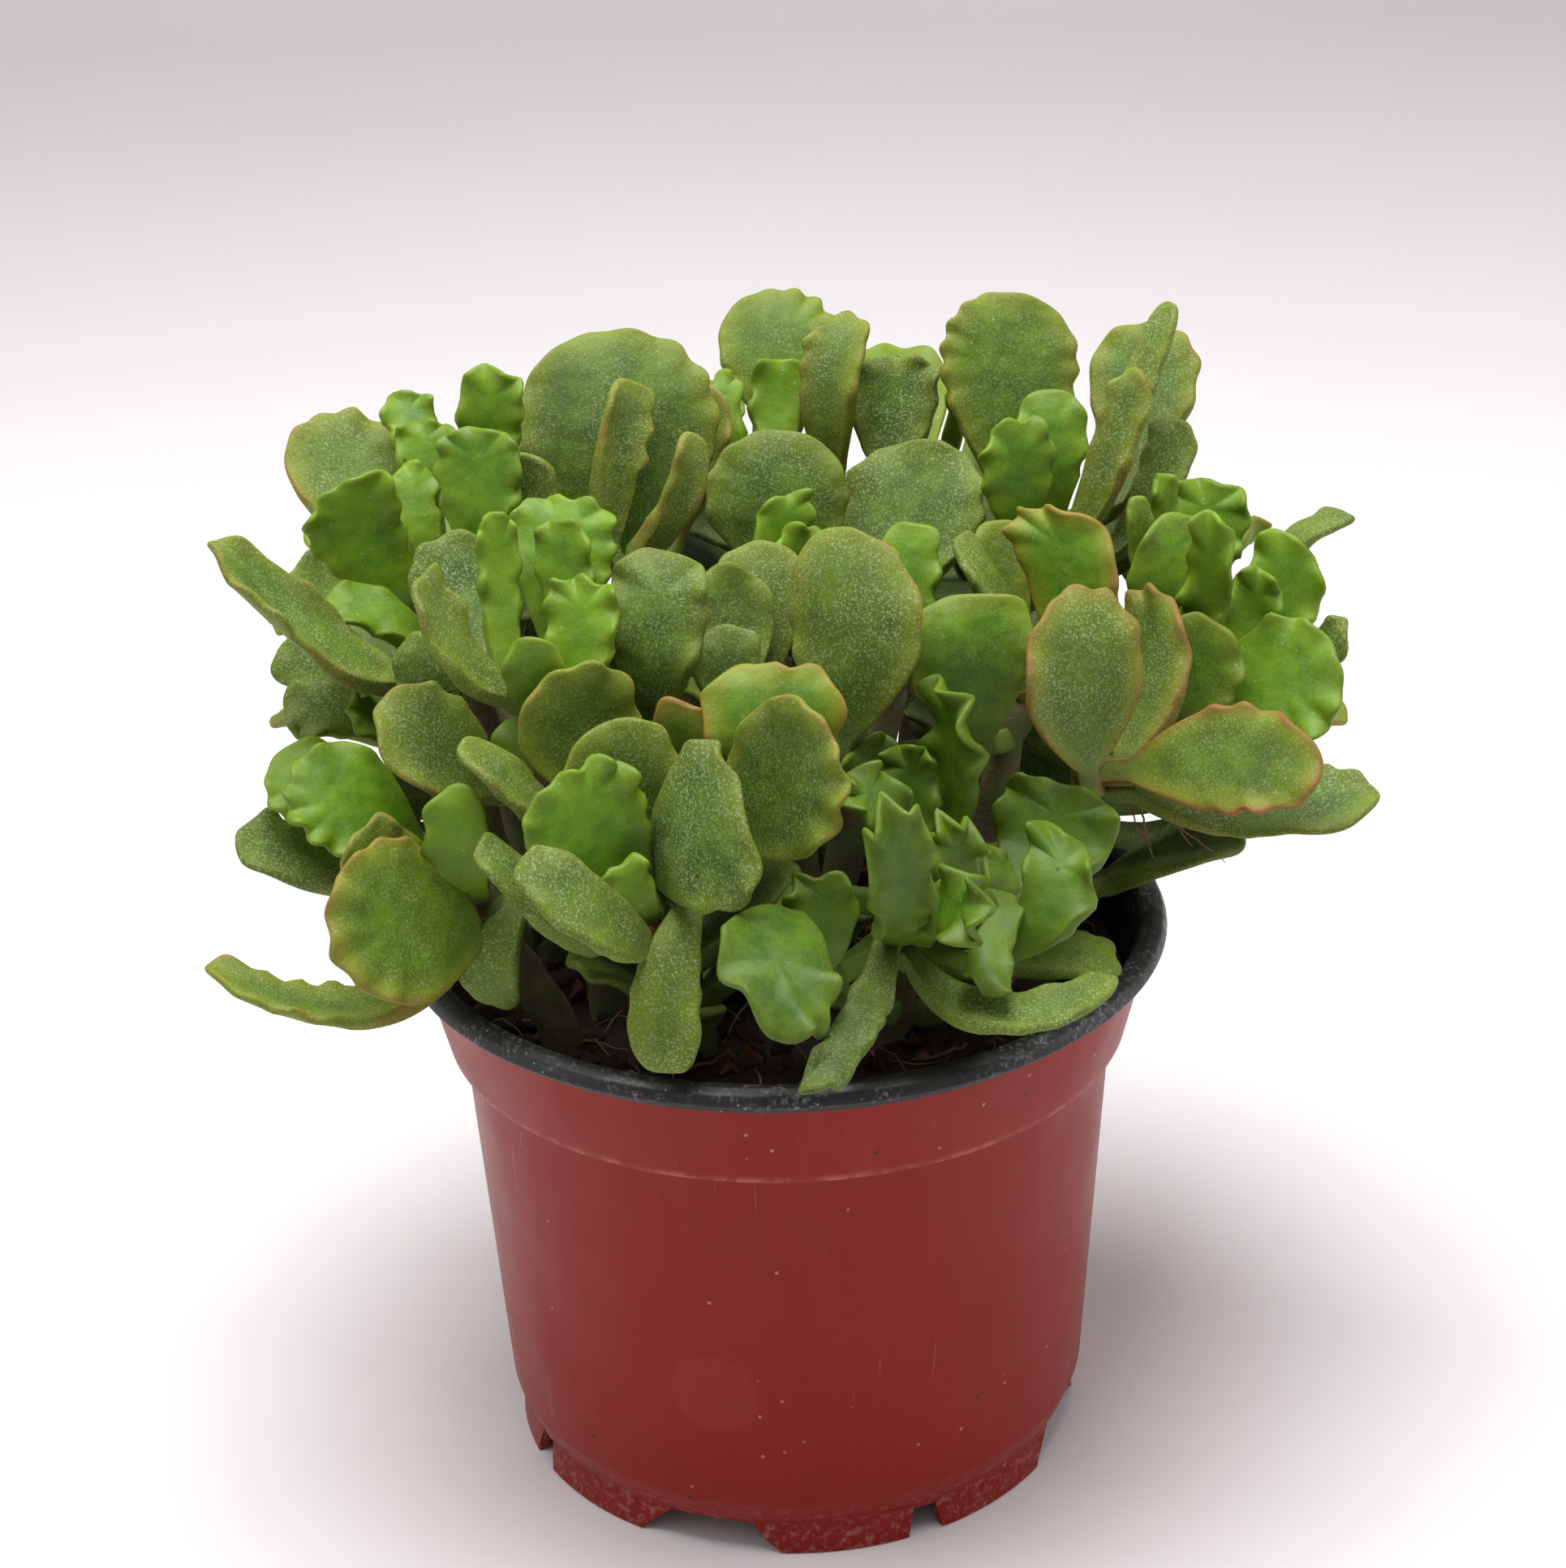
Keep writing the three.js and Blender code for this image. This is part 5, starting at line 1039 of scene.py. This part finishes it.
# Small old leaves far inside the plant: tries for each stem, part of the stem down from its crown, rise,
# stalk and length, how wide, the look of all with their painted shade, and the gaps they keep
INNER_TRIES = 130
INNER_PART = (0.05, 0.62)
INNER_RISE = (-0.1, 1.0)
INNER_STALK = (4, 9)
INNER_LENGTH = (13, 22)
# Inner leaves carry painted shade: their colour is darkened for the shadow inside the plant
INNER_LOOK = {"fold": 14, "wave": 0.4, "waves": 4, "age": 0.95, "flush": 0.1, "deep": 0.7}
STEM_PLACES = 60
ABOVE_POT = 4
INSIDE_LIP = 5
INNER_WIDE = 0.78
INNER_GAP = 3.3
INNER_ROWS = (0.02, 0.12, 0.24, 0.36, 0.48, 0.6, 0.72, 0.84, 0.93, 0.99)
INNER_COLUMNS = (-1, -0.75, -0.5, -0.25, 0, 0.25, 0.5, 0.75, 1)
CLOSED_IN = 10.0


def spread_of(leaf):
    """Places all over a blade, in space."""
    return np.array([seen(dot[:3]) for dot in sparse(leaf, INNER_ROWS, INNER_COLUMNS)])


def inner_leaves(leaves, stems, draw):
    """Leaves that fill what is still open between the others, where they touch nothing."""
    solid = [spread_of(leaf) for leaf in leaves]
    for stem in stems:
        low = low_end(stem)
        solid.append(low + (stem["to"] - low) * np.linspace(0, 1, STEM_PLACES)[:, None])
    tree = KDTree(sum(len(points) for points in solid))
    flat_tree = KDTree(sum(len(points) for points in solid))
    for index, point in enumerate(np.concatenate(solid)):
        tree.insert(point, index)
        flat_tree.insert((*unseen(point)[:2], 0), index)
    tree.balance()
    flat_tree.balance()
    found = []
    taken = np.zeros((0, 3))
    for stem in stems:
        along = stem["to"] - stem["from"]
        for _ in range(INNER_TRIES):
            turn, rise = draw.uniform(0, 2 * math.pi), draw.uniform(*INNER_RISE)
            away = unit(np.array([math.cos(turn), math.sin(turn), rise]))
            length = draw.uniform(*INNER_LENGTH)
            heel = stem["to"] - along * draw.uniform(*INNER_PART) + away * draw.uniform(*INNER_STALK)
            tip = heel + away * length
            side = unit(np.cross(away, [0, 0, 1])) * length * INNER_WIDE / 2
            middle = heel + (tip - heel) * WIDEST + np.array([0, 0, ARCH])
            leaf = {"shoot": stem["shoot"], "stem": stem, "kind": "spoon", "up": True}
            leaf.update(heel=unseen(heel), tip=unseen(tip))
            leaf.update(left=unseen(middle + side), right=unseen(middle - side))
            leaf.update(INNER_LOOK)
            places = spread_of(leaf)
            wide = np.hypot(places[:, 0], places[:, 1])
            at_rim = (places[:, 2] < LIP_TOP + ABOVE_POT) & (wide > LIP_INNER - INSIDE_LIP)
            if ((places[:, 2] < SOIL_TOP + ABOVE_POT) | at_rim).any():
                continue
            if any(tree.find(point)[2] < INNER_GAP for point in places):
                continue
            if len(taken) and np.linalg.norm(places[:, None] - taken[None], axis=2).min() < INNER_GAP:
                continue
            if any(flat_tree.find((*unseen(point)[:2], 0))[2] > CLOSED_IN for point in places):
                continue
            found.append(leaf)
            taken = np.concatenate([taken, places])
    return found


# Finish of a blade: thickness at its middle and edge, and the crimp of its edge, young and old
BLADE = (1.5, 2.0)
EDGE = (0.6, 0.8)
CRIMP_LENGTH = (4.6, 5.2)
CRIMP_HIGH = (0.85, 0.28)
CRIMP_WIDE = (0.62, 0.3)
CRIMP_REACH = 1.8
WAVE_REACH = (0.3, 0.7)
WAVE_MOST = (0.24, 0.5)
FRILL = (1.0, 1.5)
RUFFLED = 0.95
SHADED_UNDER = 95
INNER_LINES = (0.0, 0.22, 0.44, 0.64, 0.81, 0.93)
STALK_COLUMNS = 4


# What hangs or dries on the stems: readings along each thread, and its radius at both ends
DRY_ENDS = {
    "right_lower": [
        [[48.2, 96, -11], [49.3, 89, -13], [50.2, 85, -13], [51.5, 82.5, -12], 0.2, 0.08],
        [[48.6, 95, -11], [52.0, 90, -14], [57.0, 87, -15], [60.5, 83.5, -15], 0.18, 0.07],
        [[47.6, 95, -10], [47.4, 90, -12], [48.6, 88, -12], [50.4, 86.5, -13], 0.16, 0.07],
        [[48.8, 95, -12], [53.5, 91, -13], [54.0, 88, -14], [56.0, 86.0, -14], 0.14, 0.06],
    ],
    "front_left": [
        [[-18, 83, -30], [-19.4, 79.4, -33], [-18.4, 76.6, -36], [-16.6, 74.2, -38], 1.7, 0.9],
    ],
}


def thread(line, draw):
    """A dry thread through its readings, bent a little by chance."""
    places = np.array([seen(reading) for reading in line[:4]])
    share = np.linspace(0, 1, 24)
    steps = [(1 - share) ** 3, 3 * (1 - share) ** 2 * share, 3 * (1 - share) * share**2, share**3]
    path = sum(step[:, None] * place_at for step, place_at in zip(steps, places))
    path = path + draw.normal(0, 0.06, path.shape)
    radii = (line[4] + (line[5] - line[4]) * share) * draw.uniform(0.85, 1.15, len(share))
    return tube(path, radii, 8)


def quads_of(grid):
    """Faces of a grid of point numbers."""
    corners = [grid[:-1, :-1], grid[:-1, 1:], grid[1:, 1:], grid[1:, :-1]]
    return np.stack(corners, axis=-1).reshape(-1, 4)


def leaf_body(leaf, draw):
    """Points, faces and paint of a leaf: a closed fleshy blade with a rounded, crimped edge."""
    heel, tip, left, right = (seen(leaf[name]) for name in ("heel", "tip", "left", "right"))
    root = root_of(leaf["stem"], heel)
    length = np.linalg.norm(tip - heel)
    a = unit(tip - heel)
    w = left - right
    w = w - a * np.dot(w, a)
    half = np.linalg.norm(w) / 2
    b = unit(w)
    n = np.cross(a, b)
    toward = np.array([0, 0, 1]) if leaf["up"] else EYE - (heel + tip) / 2
    if np.dot(n, toward) < 0:
        n = -n
    end, neck, widest = shape_of(leaf)
    off = (left + right) / 2 - heel
    bow = 4 * widest * (1 - widest)
    sweep = np.dot(off, b) / bow
    lift = np.dot(off, n) / bow
    old = leaf["age"]

    rear = int(np.clip(math.hypot(widest * length, half) / (1.7 * GRID_STEP), 7, 22))
    front = int(np.clip(1.25 * math.hypot((1 - widest) * length, half) / GRID_STEP, 12, 44))
    s = widest * np.arange(0, rear + 1) / (rear + 1)
    spine = [s, np.full(front + 1, widest)]
    angle = 0.5 * np.pi * (1 - np.arange(front + 1) / front)
    edge = [s, widest + (1 - widest) * np.clip(np.cos(angle), 0, 1) ** (2 / end)]
    y = [
        STALK + (half - STALK) * np.sin(0.5 * np.pi * s / widest) ** neck,
        half * np.clip(np.sin(angle), 0, 1) ** (2 / end),
    ]
    spine, edge, y = (np.concatenate(part) for part in (spine, edge, y))
    spine = np.concatenate([spine, spine[-2::-1]])
    edge = np.concatenate([edge, edge[-2::-1]])
    y = np.concatenate([y, -y[-2::-1]])
    m = np.linspace(-1, 1, len(y))

    # Lines from the middle out to the edge, the last three a fixed way in from it
    reach = np.hypot((edge - spine) * length, y)
    thick_edge = EDGE[0] + (EDGE[1] - EDGE[0]) * old
    lip = 0.55 * thick_edge
    inner = np.array(INNER_LINES)[:, None] * (1 - np.minimum(0.5, lip / reach))[None]
    outer = 1 - np.minimum(0.5, lip / reach) * np.array([1.0, 0.45, 0.12, 0.0])[:, None]
    rho = np.concatenate([inner, outer])
    inset = (1 - rho) * reach

    # Crimp: small waves counted along the edge, with a drifting phase
    ruffled = leaf["wave"] > RUFFLED
    run = np.concatenate([[0], np.cumsum(np.hypot(np.diff(edge * length), np.diff(y)))])
    crimp_length = (CRIMP_LENGTH[0] + (CRIMP_LENGTH[1] - CRIMP_LENGTH[0]) * old) * draw.uniform(0.85, 1.2)
    drift = 1.3 * np.sin(run / draw.uniform(7, 13) + draw.uniform(0, 6))
    drift = drift + 0.8 * np.sin(run / 3.9 + draw.uniform(0, 6))
    phase = 2 * np.pi * run / crimp_length + drift
    free_edge = ease((edge - 0.22) / 0.3)
    strength = (0.55 + 0.45 * np.sin(run / draw.uniform(4, 8) + draw.uniform(0, 6))) * free_edge
    crimp_high = (CRIMP_HIGH[0] + (CRIMP_HIGH[1] - CRIMP_HIGH[0]) * old) * strength * np.sin(phase)
    crimp_wide = (CRIMP_WIDE[0] + (CRIMP_WIDE[1] - CRIMP_WIDE[0]) * old) * strength * np.sin(phase + 1.1)

    at = spine + (edge - spine) * rho
    env = ease((at - 0.15) / 0.4)
    near_edge = np.exp(-inset / (CRIMP_REACH * FRILL[ruffled])) * rho**2
    widening = crimp_wide / np.maximum(reach, 3) * near_edge
    flat = y * rho * (1 + widening)
    at = at + (edge - spine) * widening
    bend = math.radians(leaf["fold"]) / half if leaf["fold"] else 1e-6
    curled = np.sin(bend * flat) / bend
    raised = (1 - np.cos(bend * flat)) / bend
    bowing = 4 * at * (1 - at)

    # The long waves of the edge run inward, furthest on a ruffled blade
    turn = np.broadcast_to(m, rho.shape)
    rise = np.exp(-inset / (WAVE_REACH[ruffled] * half)) * env * rho**2
    swell = 1 + 0.3 * np.sin(5 * turn + draw.uniform(0, 6))
    wave = np.sin(np.pi * leaf["waves"] * turn) * swell * rise * min(leaf["wave"], WAVE_MOST[ruffled] * half)
    dent_wide = draw.uniform(2.5, 4.5)
    dent = np.sin(at * length / draw.uniform(4, 7) + draw.uniform(0, 6)) * np.sin(flat / dent_wide)
    across = flat + (curled - flat) * env + sweep * bowing
    high = raised * env + wave + lift * bowing + FRILL[ruffled] * crimp_high * near_edge + 0.12 * dent * env
    blade = heel + (a * (at * length)[..., None] + b * across[..., None] + n * high[..., None])

    # Stalk: a smooth bend from the stem to the blade
    down = unit(heel - root)
    turned_b = b - down * np.dot(b, down)
    side = unit(turned_b) if np.linalg.norm(turned_b) > 0.2 else b
    span = np.linalg.norm(heel - root)
    share = np.linspace(0, 1, STALK_COLUMNS, endpoint=False)
    h00 = 2 * share**3 - 3 * share**2 + 1
    h10 = share**3 - 2 * share**2 + share
    h01 = -2 * share**3 + 3 * share**2
    h11 = share**3 - share**2
    path = h00[:, None] * root + h10[:, None] * down * span + h01[:, None] * heel + h11[:, None] * a * span
    sides = side * (1 - share[:, None]) + b * share[:, None]
    stalk_rho = np.concatenate([
        np.array(INNER_LINES) * (1 - min(0.5, lip / STALK)),
        1 - min(0.5, lip / STALK) * np.array([1.0, 0.45, 0.12, 0.0]),
    ])
    spread = STALK * stalk_rho[:, None, None] * sides[None]
    sheet = np.concatenate([path[None] + spread, blade, path[None, ::-1] - spread[:, ::-1]], axis=1)
    lines, columns = sheet.shape[:2]

    def wide(values, stalk_value):
        pad = np.broadcast_to(stalk_value, (lines, STALK_COLUMNS))
        return np.concatenate([pad, np.broadcast_to(values, blade.shape[:2]), pad[:, ::-1]], axis=1)

    stalk_inset = ((1 - stalk_rho) * STALK)[:, None]
    full_inset = wide(inset, stalk_inset)
    full_rho = wide(rho, stalk_rho[:, None])
    full_at = wide(at, 0.0)

    # One number for each place; the middle line is shared by both halves
    ids = np.arange(lines * columns).reshape(lines, columns)
    first = STALK_COLUMNS + rear + 1
    mirror = np.minimum(np.arange(columns), columns - 1 - np.arange(columns))
    ids[0] = np.minimum(mirror, first)
    flat_points = sheet.reshape(-1, 3)
    quads = quads_of(ids)
    whole = quads[:, 0] != quads[:, 1]
    normals = np.zeros_like(flat_points)
    for quad, corner in ((quads, (0, 2, 3)), (quads[whole], (0, 1, 2))):
        p, q, r = (flat_points[quad[:, k]] for k in corner)
        facing = np.cross(q - p, r - p)
        for k in corner:
            np.add.at(normals, quad[:, k], facing)
    normals /= np.maximum(np.linalg.norm(normals, axis=1), 1e-9)[:, None]

    thick_blade = BLADE[0] + (BLADE[1] - BLADE[0]) * old
    body_thick = thick_edge + (thick_blade - thick_edge) * np.sqrt(np.clip(1 - full_rho, 0, 1))
    body_thick = body_thick + (STALK_THICK - body_thick) * (1 - ease(full_at / widest))
    rounding = np.sqrt(1 - (1 - np.clip(full_inset / lip, 0, 1)) ** 2)
    thickness = (body_thick * rounding).reshape(-1)
    top = flat_points + normals * 0.5 * thickness[:, None]
    low = flat_points - normals * 0.5 * thickness[:, None]
    total = lines * columns
    low_ids = ids + total
    low_ids[-1] = ids[-1]

    faces = []
    for grid, flip in ((ids, False), (low_ids, True)):
        for face in quads_of(grid).tolist():
            if face[0] == face[1]:
                face = [face[0], face[2], face[3]]
            faces.append(face[::-1] if flip else face)
    for column, back in ((0, False), (columns - 1, True)):
        for r in range(lines - 1):
            face = [ids[r, column], ids[r + 1, column], low_ids[r + 1, column], low_ids[r, column]]
            if r == lines - 2:
                face = [ids[r, column], ids[r + 1, column], low_ids[r, column]]
            faces.append([int(i) for i in (face[::-1] if back else face)])

    # Only the places that a face uses are kept
    points = np.concatenate([top, low])
    used = np.unique(np.concatenate([np.array(face) for face in faces]))
    lookup = np.full(len(points), -1)
    lookup[used] = np.arange(len(used))
    faces = [[int(lookup[i]) for i in face] for face in faces]
    paint_values = {
        "rim": np.tile(np.minimum(full_inset, 10).reshape(-1), 2)[used],
        "along": np.tile(full_at.reshape(-1), 2)[used],
        "age": np.full(len(used), old),
        "flush": np.full(len(used), leaf["flush"]),
        # Painted shade: inner leaves and ruffled leaves low down are darkened in colour for the shadow they
        # sit in
        "deep": np.full(len(used), leaf.get("deep", 0.8 * (ruffled and leaf["heel"][1] < SHADED_UNDER))),
        "shade": np.full(len(used), draw.uniform()),
    }
    return points[used], faces, paint_values


def stem_body(stem, draw):
    """A knobbly stem with the scars of fallen leaves, from its foot in the soil to its crown."""
    low = stem["from"]
    bend = low + np.array([0, 0, HOLE_DEPTH + 3])
    top = stem["to"]
    share = np.linspace(0, 1, 26)[:, None]
    straight = low + (bend - low) * np.minimum(1, share / 0.3)
    path = np.where(share < 0.3, straight, bend + (top - bend) * (share - 0.3) / 0.7)
    soft = np.copy(path)
    for _ in range(3):
        soft[1:-1] = (soft[:-2] + 2 * soft[1:-1] + soft[2:]) / 4
    sides = 14
    turn = np.linspace(0, 2 * np.pi, sides, endpoint=False)
    rings = np.linspace(0, 1, 26)[:, None]
    radii = STEM_RADIUS * (1 - 0.25 * rings) * (
        1 + 0.05 * np.sin(40 * rings + 2 * turn + draw.uniform(0, 6)) + 0.05 * np.sin(23 * rings - 3 * turn)
    )
    radii[-1] *= 0.5
    return tube(soft, radii, sides)


def attribute(tree, name):
    return node(tree, "ShaderNodeAttribute", attribute_name=name).outputs["Fac"]


def leaf_skin():
    """Fleshy leaf: bright and waxy when young, greyed by fine scurf when old, its edge flushed; painted
    shade darkens leaves inside the plant.
    """
    material, tree, shader = new_material("leaf_skin")
    age = attribute(tree, "age")
    rim = attribute(tree, "rim")
    flush = attribute(tree, "flush")
    shade = attribute(tree, "shade")
    old = ramp(tree, age, 0.15, 0.6)
    mottle = ramp(tree, noise(tree, 180, 4.0, 0.65), 0.3, 0.7)
    young_tone = blend(tree, mottle, YOUNG_DEEP, YOUNG_LIGHT)
    old_tone = blend(tree, mottle, OLD_DEEP, OLD_LIGHT)
    tone = blend(tree, old, young_tone, old_tone)
    tone = coat(tree, tone, blend(tree, old, YOUNG_LIGHT, OLD_WARM), shade, 0.35)
    # Paler, yellower flesh toward the edge and the stalk
    toward_edge = ramp(tree, rim, 4.2, 0.2)
    warmth = maths(tree, "ADD", times(tree, flush, 0.45), 0.2)
    glow = times(tree, toward_edge, warmth)
    tone = blend(tree, glow, tone, EDGE_GLOW)
    stalk = ramp(tree, attribute(tree, "along"), 0.16, 0.0, 0.0, 0.55)
    tone = blend(tree, stalk, tone, STALK_TONE)
    # Scurf: fine pale grains, thick on old leaves, in patches
    grain = ramp(tree, noise(tree, 3000, 3.0, 0.7), 0.49, 0.62)
    patches = ramp(tree, noise(tree, 150, 3.0), 0.25, 0.75, 0.35, 1.0)
    amount = times(tree, ramp(tree, age, 0.15, 0.9, 0.14, 0.72), patches)
    film = times(tree, amount, 0.14)
    tone = blend(tree, film, tone, SCURF_FILM)
    scurf = times(tree, grain, amount)
    tone = blend(tree, scurf, tone, SCURF)
    tone = coat(tree, tone, PALE_SPECK, specks(tree, 620, 0.12), 0.25)
    # Thin flushed edge, broken where it is rubbed
    stretches = ramp(tree, noise(tree, 110, 2.0), 0.42, 0.6)
    broken = times(tree, stretches, ramp(tree, noise(tree, 520, 4.0), 0.3, 0.6, 0.3, 1.0))
    line = times(tree, ramp(tree, rim, 0.6, 0.1), times(tree, broken, flush))
    tone = blend(tree, maths(tree, "MULTIPLY", line, 0.8, clamp=True), tone, FLUSH)
    ruddy = times(tree, ramp(tree, flush, 0.7, 1.0), ramp(tree, rim, 1.5, 0.1))
    tone = coat(tree, tone, FLUSH_RED, ruddy, 0.5)
    tone = coat(tree, tone, DARK_SPECK, specks(tree, 130, 0.05), 0.7)
    # Painted shade: a dark green laid over inner leaves and low ruffled leaves for the shadow there
    tone = coat(tree, tone, PAINTED_SHADE_TONE, attribute(tree, "deep"), 0.45)
    gloss = maths(tree, "ADD", ramp(tree, age, 0.1, 0.8, 0.48, 0.58), times(tree, scurf, 0.22))
    surface(tree, shader, tone, gloss)
    shader.inputs["Specular IOR Level"].default_value = 0.32
    swells = bump(tree, shader, noise(tree, 130, 2.0), 0.55)
    first = bump(tree, shader, noise(tree, 520, 3.0), 0.13, over=swells)
    bump(tree, shader, scurf, 0.05, over=first)
    return material


def stem_skin():
    material, tree, shader = new_material("stem_skin")
    tone = blend(tree, noise(tree, 420, 4.0), STEM_DEEP, STEM_LIGHT)
    tone = blend(tree, ramp(tree, noise(tree, 160, 3.0), 0.45, 0.65), tone, STEM_GREEN)
    surface(tree, shader, tone, 0.75)
    bump(tree, shader, noise(tree, 900, 4.0, 0.7), 0.3)
    return material


def dry_skin():
    """Dead brown stalk and roots."""
    material, tree, shader = new_material("dry_skin")
    tone = blend(tree, noise(tree, 500, 4.0), DRY_DEEP, DRY_LIGHT)
    surface(tree, shader, tone, 0.85)
    bump(tree, shader, noise(tree, 1100, 4.0, 0.7), 0.25)
    return material


STEM_DEEP = paint(84, 70, 46)
STEM_LIGHT = paint(130, 116, 84)
STEM_GREEN = paint(96, 108, 58)
DRY_DEEP = paint(74, 46, 28)
DRY_LIGHT = paint(150, 112, 78)
PALE_SPECK = paint(214, 222, 196)
DARK_SPECK = paint(48, 40, 24)
YOUNG_DEEP = paint(64, 110, 8)
YOUNG_LIGHT = paint(106, 148, 18)
OLD_DEEP = paint(42, 76, 4)
OLD_LIGHT = paint(80, 114, 10)
OLD_WARM = paint(104, 124, 14)
EDGE_GLOW = paint(144, 144, 24)
STALK_TONE = paint(112, 136, 62)
SCURF_FILM = paint(110, 128, 60)
SCURF = paint(166, 178, 130)
FLUSH = paint(150, 98, 48)
FLUSH_RED = paint(136, 72, 50)
# Painted shade colour, for leaves that sit in shadow inside the plant
PAINTED_SHADE_TONE = paint(16, 30, 3)
skin = leaf_skin()
stem_bark = stem_skin()
dry = dry_skin()
leaves, stems = list_leaves()
settle(leaves)
leaves += inner_leaves(leaves, stems, np.random.default_rng(7))
for shoot in dict.fromkeys(stem["shoot"] for stem in stems):
    heap = Heap()
    values = {name: [] for name in ("rim", "along", "age", "flush", "deep", "shade")}
    for index, leaf in enumerate(leaves):
        if leaf["shoot"] != shoot:
            continue
        points, faces, painted = leaf_body(leaf, np.random.default_rng(100 + index))
        heap.add(points, faces, 0)
        for name, value in painted.items():
            values[name].append(value)
    for index, stem in enumerate(stems):
        if stem["shoot"] != shoot:
            continue
        points, faces = stem_body(stem, np.random.default_rng(500 + index))
        heap.add(points, faces, 1)
        for value in values.values():
            value.append(np.zeros(len(points)))
    for index, line in enumerate(DRY_ENDS.get(shoot, [])):
        points, faces = thread(line, np.random.default_rng(900 + index))
        heap.add(points, faces, 2)
        for value in values.values():
            value.append(np.zeros(len(points)))
    piece = heap.piece("leaves_" + shoot)
    piece.data.materials.append(skin)
    piece.data.materials.append(stem_bark)
    piece.data.materials.append(dry)
    for name, value in values.items():
        made = piece.data.attributes.new(name, "FLOAT", "POINT")
        made.data.foreach_set("value", np.concatenate(value).astype(np.float32))
    take(piece)
    bpy.ops.object.shade_smooth()
    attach(piece, "root")
    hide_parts("shoot_" + shoot)

# Floor and light
# A pale sweep and wide soft lights. None of it is part of the object.
SWEEP_BACK = 900
SWEEP_RISE = 260
FLOOR_TONE = paint(228, 224, 225)


def sweep():
    """A floor that curves up into a backdrop."""
    profile = [(-4000, 0), (0, 0), (SWEEP_BACK, 0)]
    for step in range(1, 13):
        angle = math.radians(90 * step / 12)
        profile.append((SWEEP_BACK + SWEEP_RISE * math.sin(angle), SWEEP_RISE * (1 - math.cos(angle))))
    profile.append((SWEEP_BACK + SWEEP_RISE, 2600))
    points = [(x, y, z) for x in (-3000, 3000) for y, z in profile]
    count = len(profile)
    faces = [(i, i + 1, count + i + 1, count + i) for i in range(count - 1)]
    return mesh_piece("floor", points, [face[::-1] for face in faces])


floor = sweep()
material, tree, shader = new_material("paper")
tone = blend(tree, noise(tree, 3.0, 2.0), FLOOR_TONE, paint(238, 234, 235))
surface(tree, shader, tone, 0.9)
floor.data.materials.append(material)
take(floor)
bpy.ops.object.shade_smooth()


def light(name, at, size, watts):
    """A soft square light that faces the plant. Place and size in millimetres."""
    data = bpy.data.lights.new(name, "AREA")
    data.shape = "SQUARE"
    data.size = size * MM
    data.energy = watts
    lamp = bpy.data.objects.new(name, data)
    lamp.rotation_mode = "QUATERNION"
    lamp.location = place(at)
    lamp.rotation_quaternion = (place((0, 0, 80)) - place(at)).to_track_quat("-Z", "Y")
    bpy.context.scene.collection.objects.link(lamp)


light("top", (-50, 20, 800), 620, 9.0)
light("left", (-750, -150, 420), 560, 0.9)
light("right", (800, 0, 380), 500, 1.4)
world = bpy.data.worlds.new("room")
world.use_nodes = True
world.node_tree.nodes["Background"].inputs["Color"].default_value = (0.93, 0.92, 0.93, 1)
world.node_tree.nodes["Background"].inputs["Strength"].default_value = 0.37
bpy.context.scene.world = world
bpy.context.scene.view_settings.view_transform = "Standard"

deselect()
